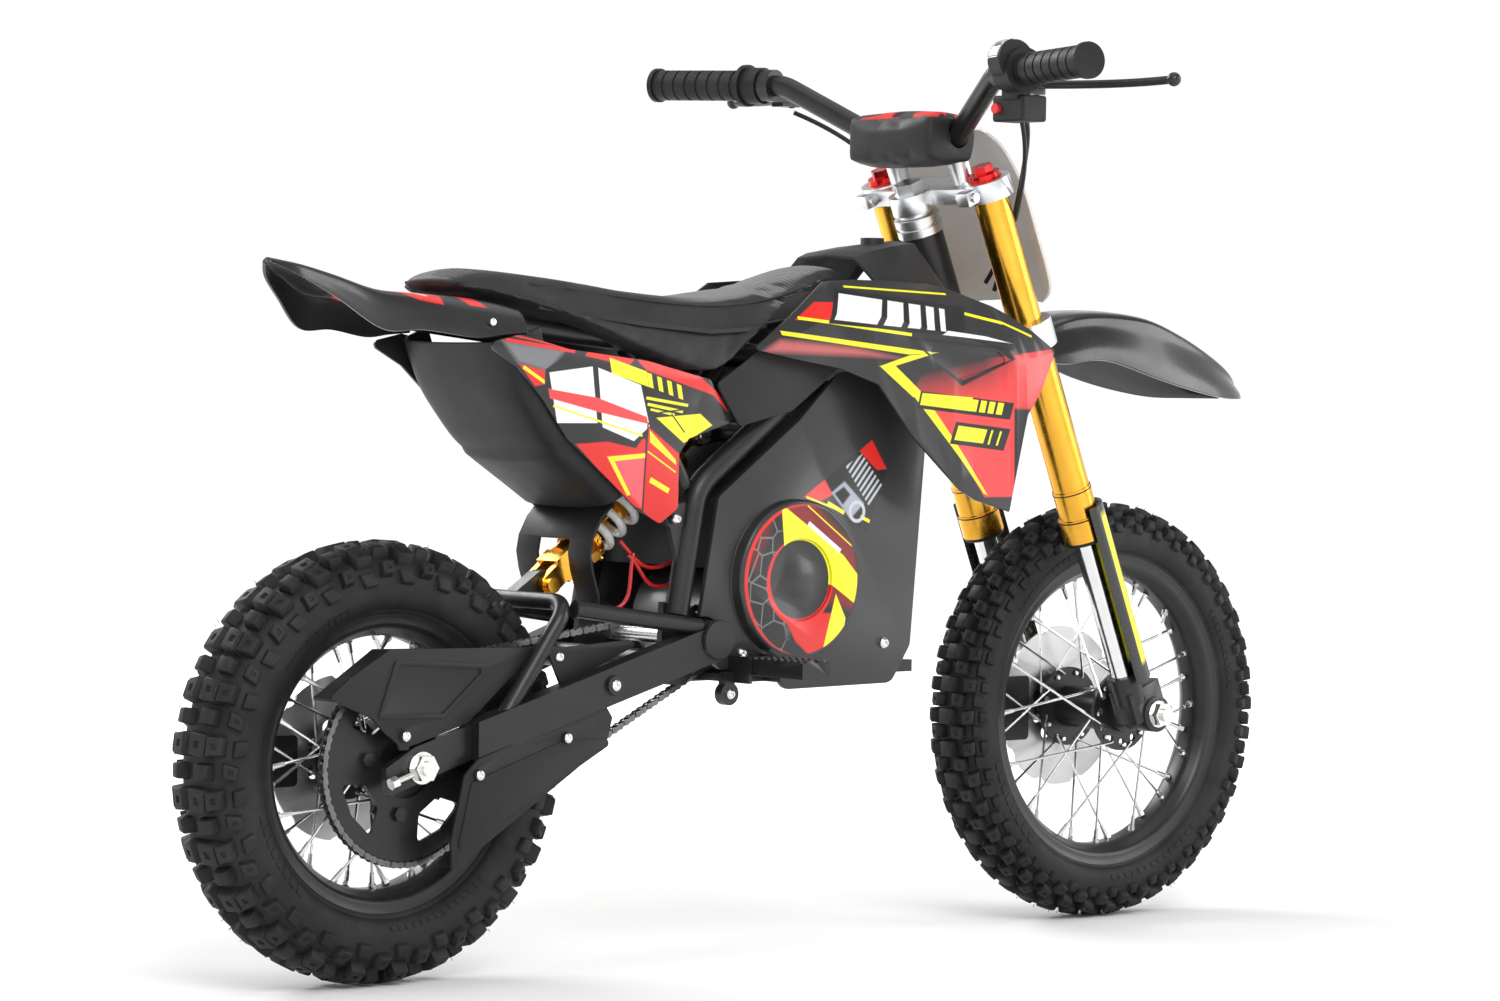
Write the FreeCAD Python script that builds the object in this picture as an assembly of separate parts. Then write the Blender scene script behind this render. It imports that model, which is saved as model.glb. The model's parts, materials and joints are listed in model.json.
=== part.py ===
import FreeCAD, Part
import math
import os

os.makedirs("parts", exist_ok=True)
V = FreeCAD.Vector

# Child's electric crossbike. Millimetres, +X forward, +Y left, +Z up, origin on the ground midway.
WHEELBASE = 950.0
REAR_R = 207.0                 # rear tyre radius, also the rear axle height
FRONT_R = 220.0                # front tyre radius, also the front axle height
REAR_X = -481.5
FRONT_X = REAR_X + WHEELBASE
REAR_HALF = 42.0               # half widths of the tyres
FRONT_HALF = 35.0
REAR_RIM_R = 140.0
FRONT_RIM_R = 165.5
AXLE_R = 7.0
RUN = 0.05                     # radial clearance of turning and sliding fits

RAKE = 22.3                    # steering axis angle from the vertical
STEER_X = 256.4                # steering axis where it crosses Z = STEER_Z
STEER_Z = 600.0
FORK_X = 36.0                  # fork legs ahead of the steering axis
FORK_Y = 76.0
LEG_R = 13.0                   # inner tube radius
BORE_R = LEG_R + RUN
TUBE_R = 18.0                  # outer tube radius at the clamps

BAR_R = 11.1
BAR_MID = V(206.1, 0, 809.7)
BAR_CORNER = V(158, -160, 872)
BAR_END = V(122, -326, 877)

PIVOT_X = -153.0               # swingarm pivot
PIVOT_Z = 317.0
PIVOT_R = 8.0
MOTOR_X = -75.0
MOTOR_Z = 332.0
MOTOR_R = 46.0
CHAIN_Y0 = -57.5
CHAIN_Y1 = -48.5
CHAIN_PITCH = 8.0
REAR_TEETH = 72
DRIVE_TEETH = 15
REAR_PITCH_R = CHAIN_PITCH / (2 * math.sin(math.pi / REAR_TEETH))
DRIVE_PITCH_R = CHAIN_PITCH / (2 * math.sin(math.pi / DRIVE_TEETH))

EYE_LOW = V(-283, 0, 368)      # lower shock eye, on the swingarm
EYE_HIGH = V(-104, 0, 511)     # upper shock eye, on the frame
SHOCK_LEN = (EYE_HIGH - EYE_LOW).Length
PEG_X = -100.0
PEG_Y = -112.0
PEG_Z = 291.0
LEVER_PIVOT = V(190, -184, 862)

COVER_Y = 84.0                 # inner face of the battery side covers
DISC_X = -41.0                 # raised disc on each side cover
DISC_Z = 372.0


def box(x0, x1, y0, y1, z0, z1):
    return Part.makeBox(x1 - x0, y1 - y0, z1 - z0, V(x0, y0, z0))


def rod(radius, a, b):
    return Part.makeCylinder(radius, (b - a).Length, a, b - a)


def across(radius, x, z, y0, y1):
    return Part.makeCylinder(radius, y1 - y0, V(x, y0, z), V(0, 1, 0))


def hexagon(radius, a, b):
    ring = [V(radius * math.cos(math.radians(60 * i)), radius * math.sin(math.radians(60 * i)), 0)
            for i in range(7)]
    solid = Part.Face(Part.makePolygon(ring)).extrude(V(0, 0, (b - a).Length))
    solid.Placement = FreeCAD.Placement(a, FreeCAD.Rotation(V(0, 0, 1), b - a))
    return solid


def mirror(shape):
    return shape.mirror(V(0, 0, 0), V(0, 1, 0))


def both(shape):
    return Part.makeCompound([shape, mirror(shape)])


def tidy(shape):
    """Merge faces that lie on one surface, where the result stays sound."""
    merged = shape.copy().removeSplitter()
    same = len(merged.Solids) == len(shape.Solids) and abs(merged.Volume - shape.Volume) < 1.0
    if merged.isValid() and same:
        return merged
    return shape


def union(shapes):
    result = shapes[0]
    for shape in shapes[1:]:
        result = result.fuse(shape)
    return tidy(result)


def rounded(points, radius, y):
    """Closed outline in a plane of constant Y with every corner rounded."""
    verts = [V(x, y, z) for x, z in points]
    edges = []
    starts = []
    for i, p in enumerate(verts):
        a = verts[i - 1] - p
        b = verts[(i + 1) % len(verts)] - p
        half = a.getAngle(b) / 2
        cut = min(radius / math.tan(half), a.Length * 0.45, b.Length * 0.45)
        r = cut * math.tan(half)
        p0 = p + a.normalize() * cut
        p1 = p + b.normalize() * cut
        mid_dir = (a + b).normalize()
        mid = p + mid_dir * (r / math.sin(half) - r)
        starts.append((p0, mid, p1))
    for i, (p0, mid, p1) in enumerate(starts):
        edges.append(Part.Arc(p0, mid, p1).toShape())
        edges.append(Part.makeLine(p1, starts[(i + 1) % len(starts)][0]))
    return Part.Wire(edges)


def plate(points, y0, y1, radius=0.0):
    """Flat plate with an outline in the XZ plane, from y0 to y1."""
    if radius > 0:
        wire = rounded(points, radius, y0)
    else:
        wire = Part.makePolygon([V(x, y0, z) for x, z in points + points[:1]])
    return Part.Face(wire).extrude(V(0, y1 - y0, 0))


def bent(points, radius, bend):
    """Round tube along a line with rounded corners."""
    edges = []
    last = points[0]
    for i in range(1, len(points) - 1):
        p = points[i]
        a = (points[i - 1] - p)
        b = (points[i + 1] - p)
        half = a.getAngle(b) / 2
        cut = min(bend / math.tan(half), a.Length * 0.45, b.Length * 0.45)
        r = cut * math.tan(half)
        p0 = p + a.normalize() * cut
        p1 = p + b.normalize() * cut
        mid = p + (a + b).normalize() * (r / math.sin(half) - r)
        edges.append(Part.makeLine(last, p0))
        edges.append(Part.Arc(p0, mid, p1).toShape())
        last = p1
    edges.append(Part.makeLine(last, points[-1]))
    path = Part.Wire(edges)
    circle = Part.Wire(Part.makeCircle(radius, points[0], points[1] - points[0]))
    return path.makePipeShell([circle], True, False)


def skin(sections):
    """Solid through closed outlines with straight sides between them."""
    wires = [Part.makePolygon(s + s[:1]) for s in sections]
    return Part.makeLoft(wires, True, True)


def turned(profile, x, z):
    """Ring turned about an axis along Y, from (y, radius) points."""
    pts = [V(x, y, z + r) for y, r in profile]
    face = Part.Face(Part.makePolygon(pts + pts[:1]))
    return face.revolve(V(x, 0, z), V(0, 1, 0), 360)


def steer(shape):
    """Place a part drawn about an upright steering axis."""
    shape = shape.copy()
    shape.rotate(V(0, 0, 0), V(0, 1, 0), -RAKE)
    shape.translate(V(STEER_X, 0, STEER_Z))
    return shape


def shock(shape):
    """Place a part drawn upright from the lower shock eye."""
    shape = shape.copy()
    line = EYE_HIGH - EYE_LOW
    shape.rotate(V(0, 0, 0), V(0, 1, 0), math.degrees(math.atan2(line.x, line.z)))
    shape.translate(EYE_LOW)
    return shape


def legs(make):
    """A fork part for both legs, drawn for the left one."""
    return steer(both(make))


def bar_point(s):
    """Point on the straight outer part of the handlebar, s from its corner."""
    return BAR_CORNER + (BAR_END - BAR_CORNER).normalize() * s


def save(name, shape):
    solids = shape.Solids
    if not solids:
        raise ValueError(name + " holds no solid")
    shape = solids[0] if len(solids) == 1 else Part.makeCompound(solids)
    shape.exportStep("parts/" + name + ".step")


# ---------------------------------------------------------------- frame
def frame_main():
    parts = [steer(rod(22, V(0, 0, 24), V(0, 0, 128)))]
    parts.append(bent([V(226, 0, 674), V(120, 0, 626), V(-10, 0, 606)], 16, 60))
    parts.append(bent([V(240, 0, 636), V(158, 0, 548), V(152, 0, 276)], 14, 50))
    parts.append(plate([(215, 640), (120, 612), (150, 560), (190, 590)], -4, 4))
    parts.append(across(12, 5, 590, -84, 84))
    parts.append(box(-176, 166, -40, 40, 272, 284))
    parts.append(box(-176, -160, -68, 68, 274, 284))
    parts.append(across(10, -78, 515, -72, 72))
    left = [bent([V(5, 72, 590), V(-43, 72, 541), V(-150, 72, 462), V(-173, 72, 340)], 12, 45)]
    left.append(plate([(-186, 352), (-150, 345), (-128, 325), (-130, 300), (-158, 272), (-178, 272),
                       (-188, 300)],
                      60.5, 68))
    left.append(plate([(-104, 522), (-78, 525), (-78, 505), (-104, 500)], 15, 21))
    left.append(across(11, -104, 511, 15, 21))
    left.append(bent([V(-5, 62, 590), V(-150, 62, 595), V(-300, 60, 607), V(-432, 50, 621)], 9, 60))
    left.append(rod(8, V(-160, 66, 462), V(-236, 62, 600)))
    left.append(plate([(-190, 442), (-166, 448), (-158, 395), (-174, 385)], 70, 75.5))
    left.append(across(9, -182, 432, 70, 76.4))
    left.append(peg_bracket())
    body = union(parts)
    for shape in left:
        body = body.fuse(shape).fuse(mirror(shape))
    body = tidy(body)
    body = body.cut(steer(rod(16, V(0, 0, 20), V(0, 0, 132))))
    body = body.cut(steer(rod(27, V(0, 0, 128), V(0, 0, 190))))
    body = body.cut(steer(rod(27, V(0, 0, -30), V(0, 0, 24))))
    body = body.cut(across(PIVOT_R, PIVOT_X, PIVOT_Z, -70, 70))
    body = body.cut(across(5, EYE_HIGH.x, EYE_HIGH.z, -25, 25))
    return body


def peg_bracket():
    x0 = PEG_X - 20
    x1 = PEG_X + 20
    base = box(x0 - 2, x1 + 2, 38, 98, 274, 281)
    ears = [box(x0 - 2, x0 + 2, 90, 121, 274, 300), box(x1 - 2, x1 + 2, 90, 121, 274, 300)]
    ears.append(box(PEG_X - 32, x0, 88, 98, 264, 284))
    pin = Part.makeCylinder(4, x1 - x0, V(x0, -PEG_Y, PEG_Z), V(1, 0, 0))
    lobe = across(11, PEG_X - 26, 263, 88, 98)
    return union([base, pin, lobe] + ears)


def battery_case():
    outer = [(-20, 284), (64, 284), (112, 308), (128, 497), (134, 566), (20, 566), (-32, 520), (-128, 449),
             (-140, 384), (-20, 384)]
    inner = [(-17, 287), (63, 287), (109, 310), (125, 497), (131, 563), (21, 563), (-30, 517), (-125, 447),
             (-136, 387), (-17, 387)]
    return plate(outer, -COVER_Y, COVER_Y).cut(plate(inner, -81, 81))


def side_cover():
    outline = [(141, 575), (134, 499), (117, 303), (92, 266), (-52, 264), (-60, 286), (-136, 286),
               (-158, 336),
               (-136, 453), (-34, 527), (18, 575)]
    body = plate(outline, COVER_Y, COVER_Y + 6, 14)
    rim = across(78, DISC_X, DISC_Z, COVER_Y + 5, COVER_Y + 20)
    rim = rim.makeFillet(4, [e for e in rim.Edges if e.BoundBox.YMin > COVER_Y + 19])
    body = union([body, rim])
    body = body.cut(across(40, DISC_X, DISC_Z, COVER_Y + 16, COVER_Y + 21))
    ball = Part.makeSphere(70, V(DISC_X, COVER_Y + 16 - 70 + 3.2, DISC_Z))
    dome = ball.common(across(36, DISC_X, DISC_Z, COVER_Y + 14, COVER_Y + 21))
    body = union([body, dome])
    return body.cut(across(21, PIVOT_X, PIVOT_Z, COVER_Y - 1, COVER_Y + 22))


def battery_pack():
    return union([box(-12, 100, -72, 72, 312, 505), box(-12, 60, -72, 72, 287, 312)])


def motor():
    can = across(MOTOR_R, MOTOR_X, MOTOR_Z, -40, 58)
    foot = box(MOTOR_X - 36, MOTOR_X + 36, -30, 50, 284, 304)
    body = union([can, foot])
    return body.cut(across(6 + RUN, MOTOR_X, MOTOR_Z, -41, -18))


def drive_sprocket():
    shaft = across(6, MOTOR_X, MOTOR_Z, -60, -20)
    disc = across(DRIVE_PITCH_R - 4, MOTOR_X, MOTOR_Z, -55, -51)
    collar = across(9, MOTOR_X, MOTOR_Z, -59, -44)
    return union([shaft, disc, collar])


def headset_cups():
    upper = rod(24, V(0, 0, 128), V(0, 0, 147)).cut(rod(12.5 + RUN, V(0, 0, 127), V(0, 0, 148)))
    groove = rod(25, V(0, 0, 136), V(0, 0, 139)).cut(rod(21.5, V(0, 0, 136), V(0, 0, 139)))
    lower = rod(24, V(0, 0, 17), V(0, 0, 24)).cut(rod(12.5 + RUN, V(0, 0, 16), V(0, 0, 25)))
    return steer(Part.makeCompound([upper.cut(groove), lower]))


def pivot_bolts():
    main = across(PIVOT_R, PIVOT_X, PIVOT_Z, -110, 110)
    top = across(5, EYE_HIGH.x, EYE_HIGH.z, -30, 30)
    heads = [across(8.5, EYE_HIGH.x, EYE_HIGH.z, 21, 29), across(8.5, EYE_HIGH.x, EYE_HIGH.z, -29, -21)]
    return Part.makeCompound([main, union([top] + heads)])


# ---------------------------------------------------------------- seat and bodywork
SEAT = [  # x, half width of the top, height of the top, half width and height of the lower edge
    (-426, 38, 662, 44, 649), (-400, 54, 666, 66, 644), (-346, 66, 662, 90, 629), (-291, 74, 656, 96, 613),
    (-231, 76, 649, 98, 588), (-148, 76, 644, 99, 567), (-97, 72, 647, 97, 598), (-40, 62, 656, 84, 640),
    (5, 54, 668, 68, 656), (45, 42, 680, 50, 667), (75, 30, 681, 36, 671)]
BASE = [(-350, 80, 634), (-291, 87, 627), (-231, 90, 620), (-148, 91, 614), (-97, 88, 617), (-70, 82, 621)]
BASE_LOW = [622, 604, 578, 556, 586, 606]


def seat_section(x, wt, zt, wb, zb):
    mid = (wt + wb) / 2 + 3
    pts = [V(x, -wb, zb), V(x, -mid, (zt + zb) / 2 - 1), V(x, -wt, zt - 6), V(x, -wt * 0.55, zt),
           V(x, 0, zt + 1)]
    pts += [V(x, -p.y, p.z) for p in reversed(pts[:-1])]
    curve = Part.BSplineCurve()
    curve.interpolate(pts)
    return Part.Wire([curve.toShape(), Part.makeLine(pts[-1], pts[0])])


def seat_hollow():
    return skin([[V(x, -w, low), V(x, w, low), V(x, w, z), V(x, -w, z)]
                 for (x, w, z), low in zip(BASE, BASE_LOW)])


def seat_cushion():
    body = Part.makeLoft([seat_section(*s) for s in SEAT], True, False)
    return body.cut(seat_hollow())


def seat_base():
    return skin([[V(x, -w + 1, z - 4), V(x, w - 1, z - 4), V(x, w - 1, z), V(x, -w + 1, z)]
                 for x, w, z in BASE])


def hood_section(x, wt, zt, wb, zb, t=3.0, crown=3.0):
    """Upside-down trough: crowned top, two sloping sides, even thickness."""
    right = [V(x, wb, zb), V(x, wt, zt), V(x, 0, zt + crown), V(x, -wt, zt), V(x, -wb, zb)]
    left = [V(x, -wb + t, zb), V(x, -wt + t, zt - t), V(x, 0, zt + crown - t), V(x, wt - t, zt - t),
            V(x, wb - t, zb)]
    return right + left


def tank_cover():
    stations = [(78, 44, 690, 82, 658), (92, 46, 695, 83, 658), (130, 42, 702, 85, 657),
                (166, 35, 706, 84, 654),
                (174, 30, 702, 80, 654)]
    body = skin([hood_section(*s, t=3.0, crown=3.0) for s in stations])
    ring = rod(12, V(140, 0, 704), V(140, 0, 711)).cut(rod(8, V(140, 0, 700), V(140, 0, 715)))
    return union([body, ring])


SHROUD = [  # x, top (y, z), crease (y, z), bottom (y, z)
    (-101, -102, 598, -103, 597, -104, 595), (-54, -97, 628, -105, 610, -111, 586),
    (-4, -88, 663, -107, 632, -117, 578), (39, -86, 666, -112, 632, -124, 563),
    (78, -86, 666, -119, 625, -135, 510), (133, -90, 664, -131, 612, -143, 459),
    (154, -95, 660, -135, 608, -143, 449), (200, -113, 643, -142, 596, -144, 437),
    (209, -118, 638, -143, 592, -146, 482), (222, -124, 630, -143, 590, -146, 534),
    (241, -131, 618, -142, 592, -144, 556), (266, -137, 600, -138, 598.5, -139, 597)]
VENT = [(84, 606), (186, 597), (198, 586), (138, 569)]


def shroud_skin(depth, thick):
    sections = []
    for x, yt, zt, ym, zm, yb, zb in SHROUD:
        a = [V(x, yt + depth, zt), V(x, ym + depth, zm), V(x, yb + depth, zb)]
        b = [V(x, p.y + thick, p.z) for p in reversed(a)]
        sections.append(a + b)
    return skin(sections)


def shroud():
    hole = plate(VENT, -170, -80, 8)
    body = shroud_skin(0, 3.0).cut(hole)
    window = plate([(76, 616), (194, 607), (210, 584), (136, 557)], -170, -80, 8)
    floor = shroud_skin(2.0, 3.5).common(window)
    return union([body, floor])


def frame_panel():
    outline = [(-144, 562), (-114, 521), (-47, 536), (15, 579), (12, 604), (-60, 606), (-94, 592)]
    return plate(outline, 91, 94, 5)


def number_panel():
    outline = [(-424, 597), (-383, 606), (-325, 593), (-229, 583), (-150, 566), (-118, 525), (-172, 509),
               (-183, 494),
               (-180, 442), (-201, 427), (-228, 439), (-268, 470), (-320, 508), (-354, 547), (-384, 575)]
    body = plate(outline, -94, -91, 5)
    body.rotate(V(0, -94, 600), V(1, 0, 0), 4.7)
    return body.cut(seat_cushion())


def rear_fender():
    stations = [(-604, 8, 672, 10, 667), (-585, 27, 668, 32, 654), (-558, 43, 659, 49, 635),
                (-521, 60, 645, 68, 604),
                (-480, 64, 643, 76, 612), (-430, 68, 640, 90, 601), (-400, 72, 637, 93, 606),
                (-374, 78, 630, 94, 608)]
    return skin([hood_section(*s, t=3.0, crown=2.0) for s in stations])


def sheet(points, half, thick):
    """Sheet of constant thickness along a line in the XZ plane, from -half to half."""
    outer = points
    inner = []
    for i, (x, z) in enumerate(points):
        x0, z0 = points[max(i - 1, 0)]
        x1, z1 = points[min(i + 1, len(points) - 1)]
        length = math.hypot(x1 - x0, z1 - z0)
        inner.append((x - (z1 - z0) / length * thick, z + (x1 - x0) / length * thick))
    return plate(outer + inner[::-1], -half, half)


def inner_fender():
    line = [(-382, 604), (-376, 585), (-362, 556), (-343, 530), (-326, 510), (-308, 495), (-270, 470),
            (-243, 452)]
    low = [V(-420, -76, 440), V(-220, -76, 440), V(-220, 76, 440), V(-420, 76, 440)]
    high = [V(-420, -90.5, 616), V(-220, -90.5, 616), V(-220, 90.5, 616), V(-420, 90.5, 616)]
    return sheet(line, 92, 3).common(skin([low, high]))


def mud_flap():
    line = [(-240, 449), (-256, 432), (-266, 414), (-269, 398), (-266, 382), (-258, 358), (-259, 347)]
    body = sheet(line, 57, 3)
    return body.cut(plate([(-300, 340), (-300, 412), (-220, 412), (-220, 340)], -22, 22))


def cover_screws():
    spots = [(81, 306, 90, 5.5), (-105, 301, 90, 5.5), (-182, 432, 80.8, 5), (-126, 263, 98, 5)]
    heads = []
    for x, z, y, r in spots:
        head = across(r, x, z, y, y + 4).cut(across(r * 0.5, x, z, y + 2, y + 5))
        heads += [head, mirror(head)]
    return Part.makeCompound(heads)


# ---------------------------------------------------------------- steering
def steering_stem():
    parts = [rod(12.5, V(0, 0, -12), V(0, 0, 176)), rod(24, V(0, 0, -12), V(0, 0, 16))]
    parts.append(box(4, 54, -FORK_Y, FORK_Y, -10, 14))
    for y in (-FORK_Y, FORK_Y):
        parts.append(rod(27, V(FORK_X, y, -12), V(FORK_X, y, 16)))
    parts.append(hexagon(16, V(0, 0, 172), V(0, 0, 183)))
    parts.append(rod(17.5, V(0, 0, 147.6), V(0, 0, 152)))
    body = union(parts)
    for y in (-FORK_Y, FORK_Y):
        body = body.cut(rod(TUBE_R, V(FORK_X, y, -20), V(FORK_X, y, 20)))
    return steer(body)


def upper_clamp():
    parts = [rod(23, V(0, 0, 152), V(0, 0, 172)), box(10, 50, -FORK_Y, FORK_Y, 154, 170)]
    for side in (-1, 1):
        y = FORK_Y * side
        parts.append(rod(25, V(FORK_X, y, 152), V(FORK_X, y, 172)))
        parts.append(box(-2, 14, y - 8, y + 8, 155, 169))
        parts.append(Part.makeCylinder(5, 26, V(6, y - 13, 162), V(0, 1, 0)))
        parts.append(rod(11, V(33, 47 * side, 168), V(33, 47 * side, 206)))
        parts.append(box(17, 49, 47 * side - 10, 47 * side + 10, 200, 229))
    body = union(parts).cut(rod(12.5, V(0, 0, 150), V(0, 0, 175)))
    for y in (-FORK_Y, FORK_Y):
        body = body.cut(rod(TUBE_R, V(FORK_X, y, 140), V(FORK_X, y, 180)))
    return steer(body).cut(handlebar())


def fork_outer_tubes():
    def at(z):
        return V(FORK_X, FORK_Y, z)
    body = union([rod(TUBE_R, at(-20), at(172)), rod(19.5, at(-170), at(-12.5)),
                  rod(20.5, at(-199), at(-168)),
                  rod(22.3, at(-224), at(-199))])
    body = body.cut(rod(BORE_R, at(-230), at(160)))
    return legs(body)


def fork_caps():
    body = union([rod(16, V(FORK_X, FORK_Y, 172), V(FORK_X, FORK_Y, 178)),
                  hexagon(11, V(FORK_X, FORK_Y, 178), V(FORK_X, FORK_Y, 186))])
    return legs(body)


def handlebar():
    right = [BAR_END, BAR_CORNER, V(BAR_MID.x, -48, BAR_MID.z)]
    left = [V(p.x, -p.y, p.z) for p in reversed(right)]
    tip = bar_point(165)
    path = [tip, BAR_CORNER, right[2], left[0], V(BAR_CORNER.x, -BAR_CORNER.y, BAR_CORNER.z),
            V(tip.x, -tip.y, tip.z)]
    return bent(path, BAR_R, 40)


def bar_pad():
    body = plate([(158, 790), (158, 836), (176, 841), (214, 838), (228, 822), (222, 788), (190, 784)],
                 -64, 64, 6)
    edges = [e for e in body.Edges if abs(abs(e.BoundBox.Center.y) - 64) < 0.1]
    body = body.makeFillet(4, edges)
    return body.cut(upper_clamp()).cut(handlebar())


def grip_shape(start, end, bore):
    """Rubber grip on the bar between two distances from the bar's corner."""
    length = end - start
    body = rod(16, bar_point(start), bar_point(end))
    flange = rod(22, bar_point(start), bar_point(start + 5))
    tail = rod(18, bar_point(end - 5), bar_point(end))
    body = union([body, flange, tail])
    rings = int(length / 16)
    for i in range(rings):
        s = start + 12 + i * 15
        if s < end - 12:
            cut = rod(18, bar_point(s), bar_point(s + 3)).cut(rod(15.2, bar_point(s), bar_point(s + 3)))
            body = body.cut(cut)
    return body.cut(rod(bore, bar_point(start - 1), bar_point(165.5)))


def grip_left():
    collar = rod(19, bar_point(26), bar_point(46)).cut(rod(BAR_R, bar_point(25), bar_point(47)))
    rubber = grip_shape(46, 169, BAR_R)
    return mirror(union([collar, rubber]))


def twist_grip():
    return grip_shape(49, 169, BAR_R + RUN)


def throttle_housing():
    ring = rod(21, bar_point(25), bar_point(48.4))
    display = rod(20, bar_point(26), bar_point(47))
    display.translate(V(-8, 0, 10))
    switch = box(150, 184, -206, -162, 824, 850)
    switch = switch.makeFillet(3, switch.Edges)
    neck = box(148, 166, -200, -178, 846, 866)
    body = union([ring, display, switch, neck])
    body = body.cut(rod(BAR_R, bar_point(5), bar_point(70)))
    return body.cut(rod(5.3, V(149, -170, 837), V(158, -170, 837)))


def kill_button():
    return union([rod(5, V(146, -170, 837), V(154, -170, 837)),
                  rod(2, V(152, -170, 837), V(156, -170, 837))])


def lever_perches():
    p = LEVER_PIVOT
    ring = rod(17, bar_point(11), bar_point(24.5))
    arm = box(160, 178, p.y - 9, p.y + 12, 856, 876)
    top = rod(9, p + V(0, 0, 4.4), p + V(0, 0, 10))
    top = top.fuse(box(170, p.x, p.y - 9, p.y + 9, p.z + 4.4, p.z + 10))
    low = rod(9, p - V(0, 0, 10), p - V(0, 0, 4.4))
    low = low.fuse(box(170, p.x, p.y - 9, p.y + 9, p.z - 10, p.z - 4.4))
    pin = rod(3, p - V(0, 0, 11), p + V(0, 0, 12))
    body = union([ring, arm, top, low, pin]).cut(rod(BAR_R, bar_point(5), bar_point(60)))
    body = body.cut(rod(12, p - V(0, 0, 4.4), p + V(0, 0, 4.4)).cut(rod(3, p - V(0, 0, 5), p + V(0, 0, 5))))
    return body.cut(throttle_housing())


def brake_lever():
    """Right lever: flat knuckle, curved blade and ball end."""
    p = LEVER_PIVOT
    h = V(0, 0, 4)
    knuckle = rod(9, p - h, p + h)
    points = [p + V(2, -2, 0), p + V(20, -30, 0), p + V(36, -86, 0), p + V(44, -146, 2)]
    curve = Part.BSplineCurve()
    curve.interpolate(points)
    path = Part.Wire(curve.toShape())
    section = Part.Wire(Part.makeCircle(4.2, points[0], curve.tangent(curve.FirstParameter)[0]))
    blade = path.makePipeShell([section], True, False)
    ball = Part.makeSphere(7, points[-1])
    body = union([knuckle, blade, ball])
    return body.cut(rod(3 + RUN, p - V(0, 0, 9), p + V(0, 0, 9)))


def control_cables():
    first = [V(188, -166, 830), V(232, -128, 776), V(278, -62, 716), V(268, -33, 668)]
    second = [V(188, -168, 841), V(246, -112, 800), V(280, -60, 730), V(274, -40, 660)]
    third = [V(188, 176, 846), V(246, 112, 800), V(277, 60, 730), V(273, 38, 664)]
    return Part.makeCompound([bent(path, 2.5, 40) for path in (first, second, third)])


def front_number_plate():
    sections = []
    for z, w, xc, xe in ((18, 58, 97, 84), (40, 84, 100, 78), (150, 88, 102, 74), (190, 70, 100, 80),
                         (206, 44, 97, 86)):
        outer = [V(xe, -w, z), V((xe + xc) / 2 + 4, -w * 0.55, z), V(xc, 0, z),
                 V((xe + xc) / 2 + 4, w * 0.55, z), V(xe, w, z)]
        inner = [V(p.x - 3, p.y, p.z) for p in reversed(outer)]
        sections.append(outer + inner)
    body = skin(sections)
    tab = box(46, 97, -10, 10, 16, 20)
    return steer(union([body, tab]))


def front_fender():
    stations = [(290, 30, 599, 590), (330, 50, 613, 588), (365, 58, 636, 586), (420, 60, 644, 592),
                (490, 66, 640, 570),
                (545, 66, 624, 558), (600, 60, 601, 551), (640, 44, 580, 551), (668, 16, 558, 550)]
    sections = []
    for x, w, zc, ze in stations:
        drop = min(6, (zc - ze) / 3)
        outer = [V(x, w, ze), V(x, w * 0.72, zc - drop), V(x, 0, zc), V(x, -w * 0.72, zc - drop),
                 V(x, -w, ze)]
        inner = [V(x, -w + 3, ze), V(x, -w * 0.72 + 2, zc - drop - 3), V(x, 0, zc - 3),
                 V(x, w * 0.72 - 2, zc - drop - 3),
                 V(x, w - 3, ze)]
        sections.append(outer + inner)
    mount = steer(box(18, 50, -18, 18, -22, -12))
    return union([skin(sections), mount]).cut(steering_stem())


# ---------------------------------------------------------------- fork lower half and front wheel
AXLE_LX = 52.0                 # front axle in the steering frame
AXLE_LZ = -432.1


def fork_inner_tubes():
    body = rod(LEG_R, V(FORK_X, FORK_Y, -397), V(FORK_X, FORK_Y, 60))
    return legs(body.cut(rod(LEG_R - 2.5, V(FORK_X, FORK_Y, -390), V(FORK_X, FORK_Y, 61))))


def fork_lugs():
    sleeve = rod(17.5, V(FORK_X, FORK_Y, -412), V(FORK_X, FORK_Y, -381))
    eye = Part.makeCylinder(19, 34, V(AXLE_LX, 60, AXLE_LZ), V(0, 1, 0))
    web = box(FORK_X - 14, AXLE_LX + 16, 62, 92, AXLE_LZ, -398)
    pinch = Part.makeCylinder(4, 14, V(AXLE_LX + 14, 84, AXLE_LZ - 6), V(1, 0, 0))
    body = union([sleeve, eye, web, pinch])
    body = body.cut(rod(LEG_R, V(FORK_X, FORK_Y, -397), V(FORK_X, FORK_Y, -370)))
    return legs(body).cut(across(AXLE_R, FRONT_X, FRONT_R, -120, 120))


def fork_guards():
    mid = V(FORK_X, FORK_Y, 0)
    ring = rod(27.5, mid + V(0, 0, -388), mid + V(0, 0, -190))
    ring = ring.cut(rod(24, mid + V(0, 0, -390), mid + V(0, 0, -180)))
    corners = [mid + V(-30.8, 52.7, -400), mid + V(47.4, -38.3, -400), mid + V(92, 0, -400),
               mid + V(14, 91, -400)]
    keep = Part.Face(Part.makePolygon(corners + corners[:1])).extrude(V(0, 0, 260))
    tab = box(FORK_X + 15, FORK_X + 26, FORK_Y - 7, FORK_Y + 7, -388, -376)
    body = union([ring.common(keep), tab]).cut(rod(17.5, mid + V(0, 0, -400), mid + V(0, 0, -370)))
    return legs(body)


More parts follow.
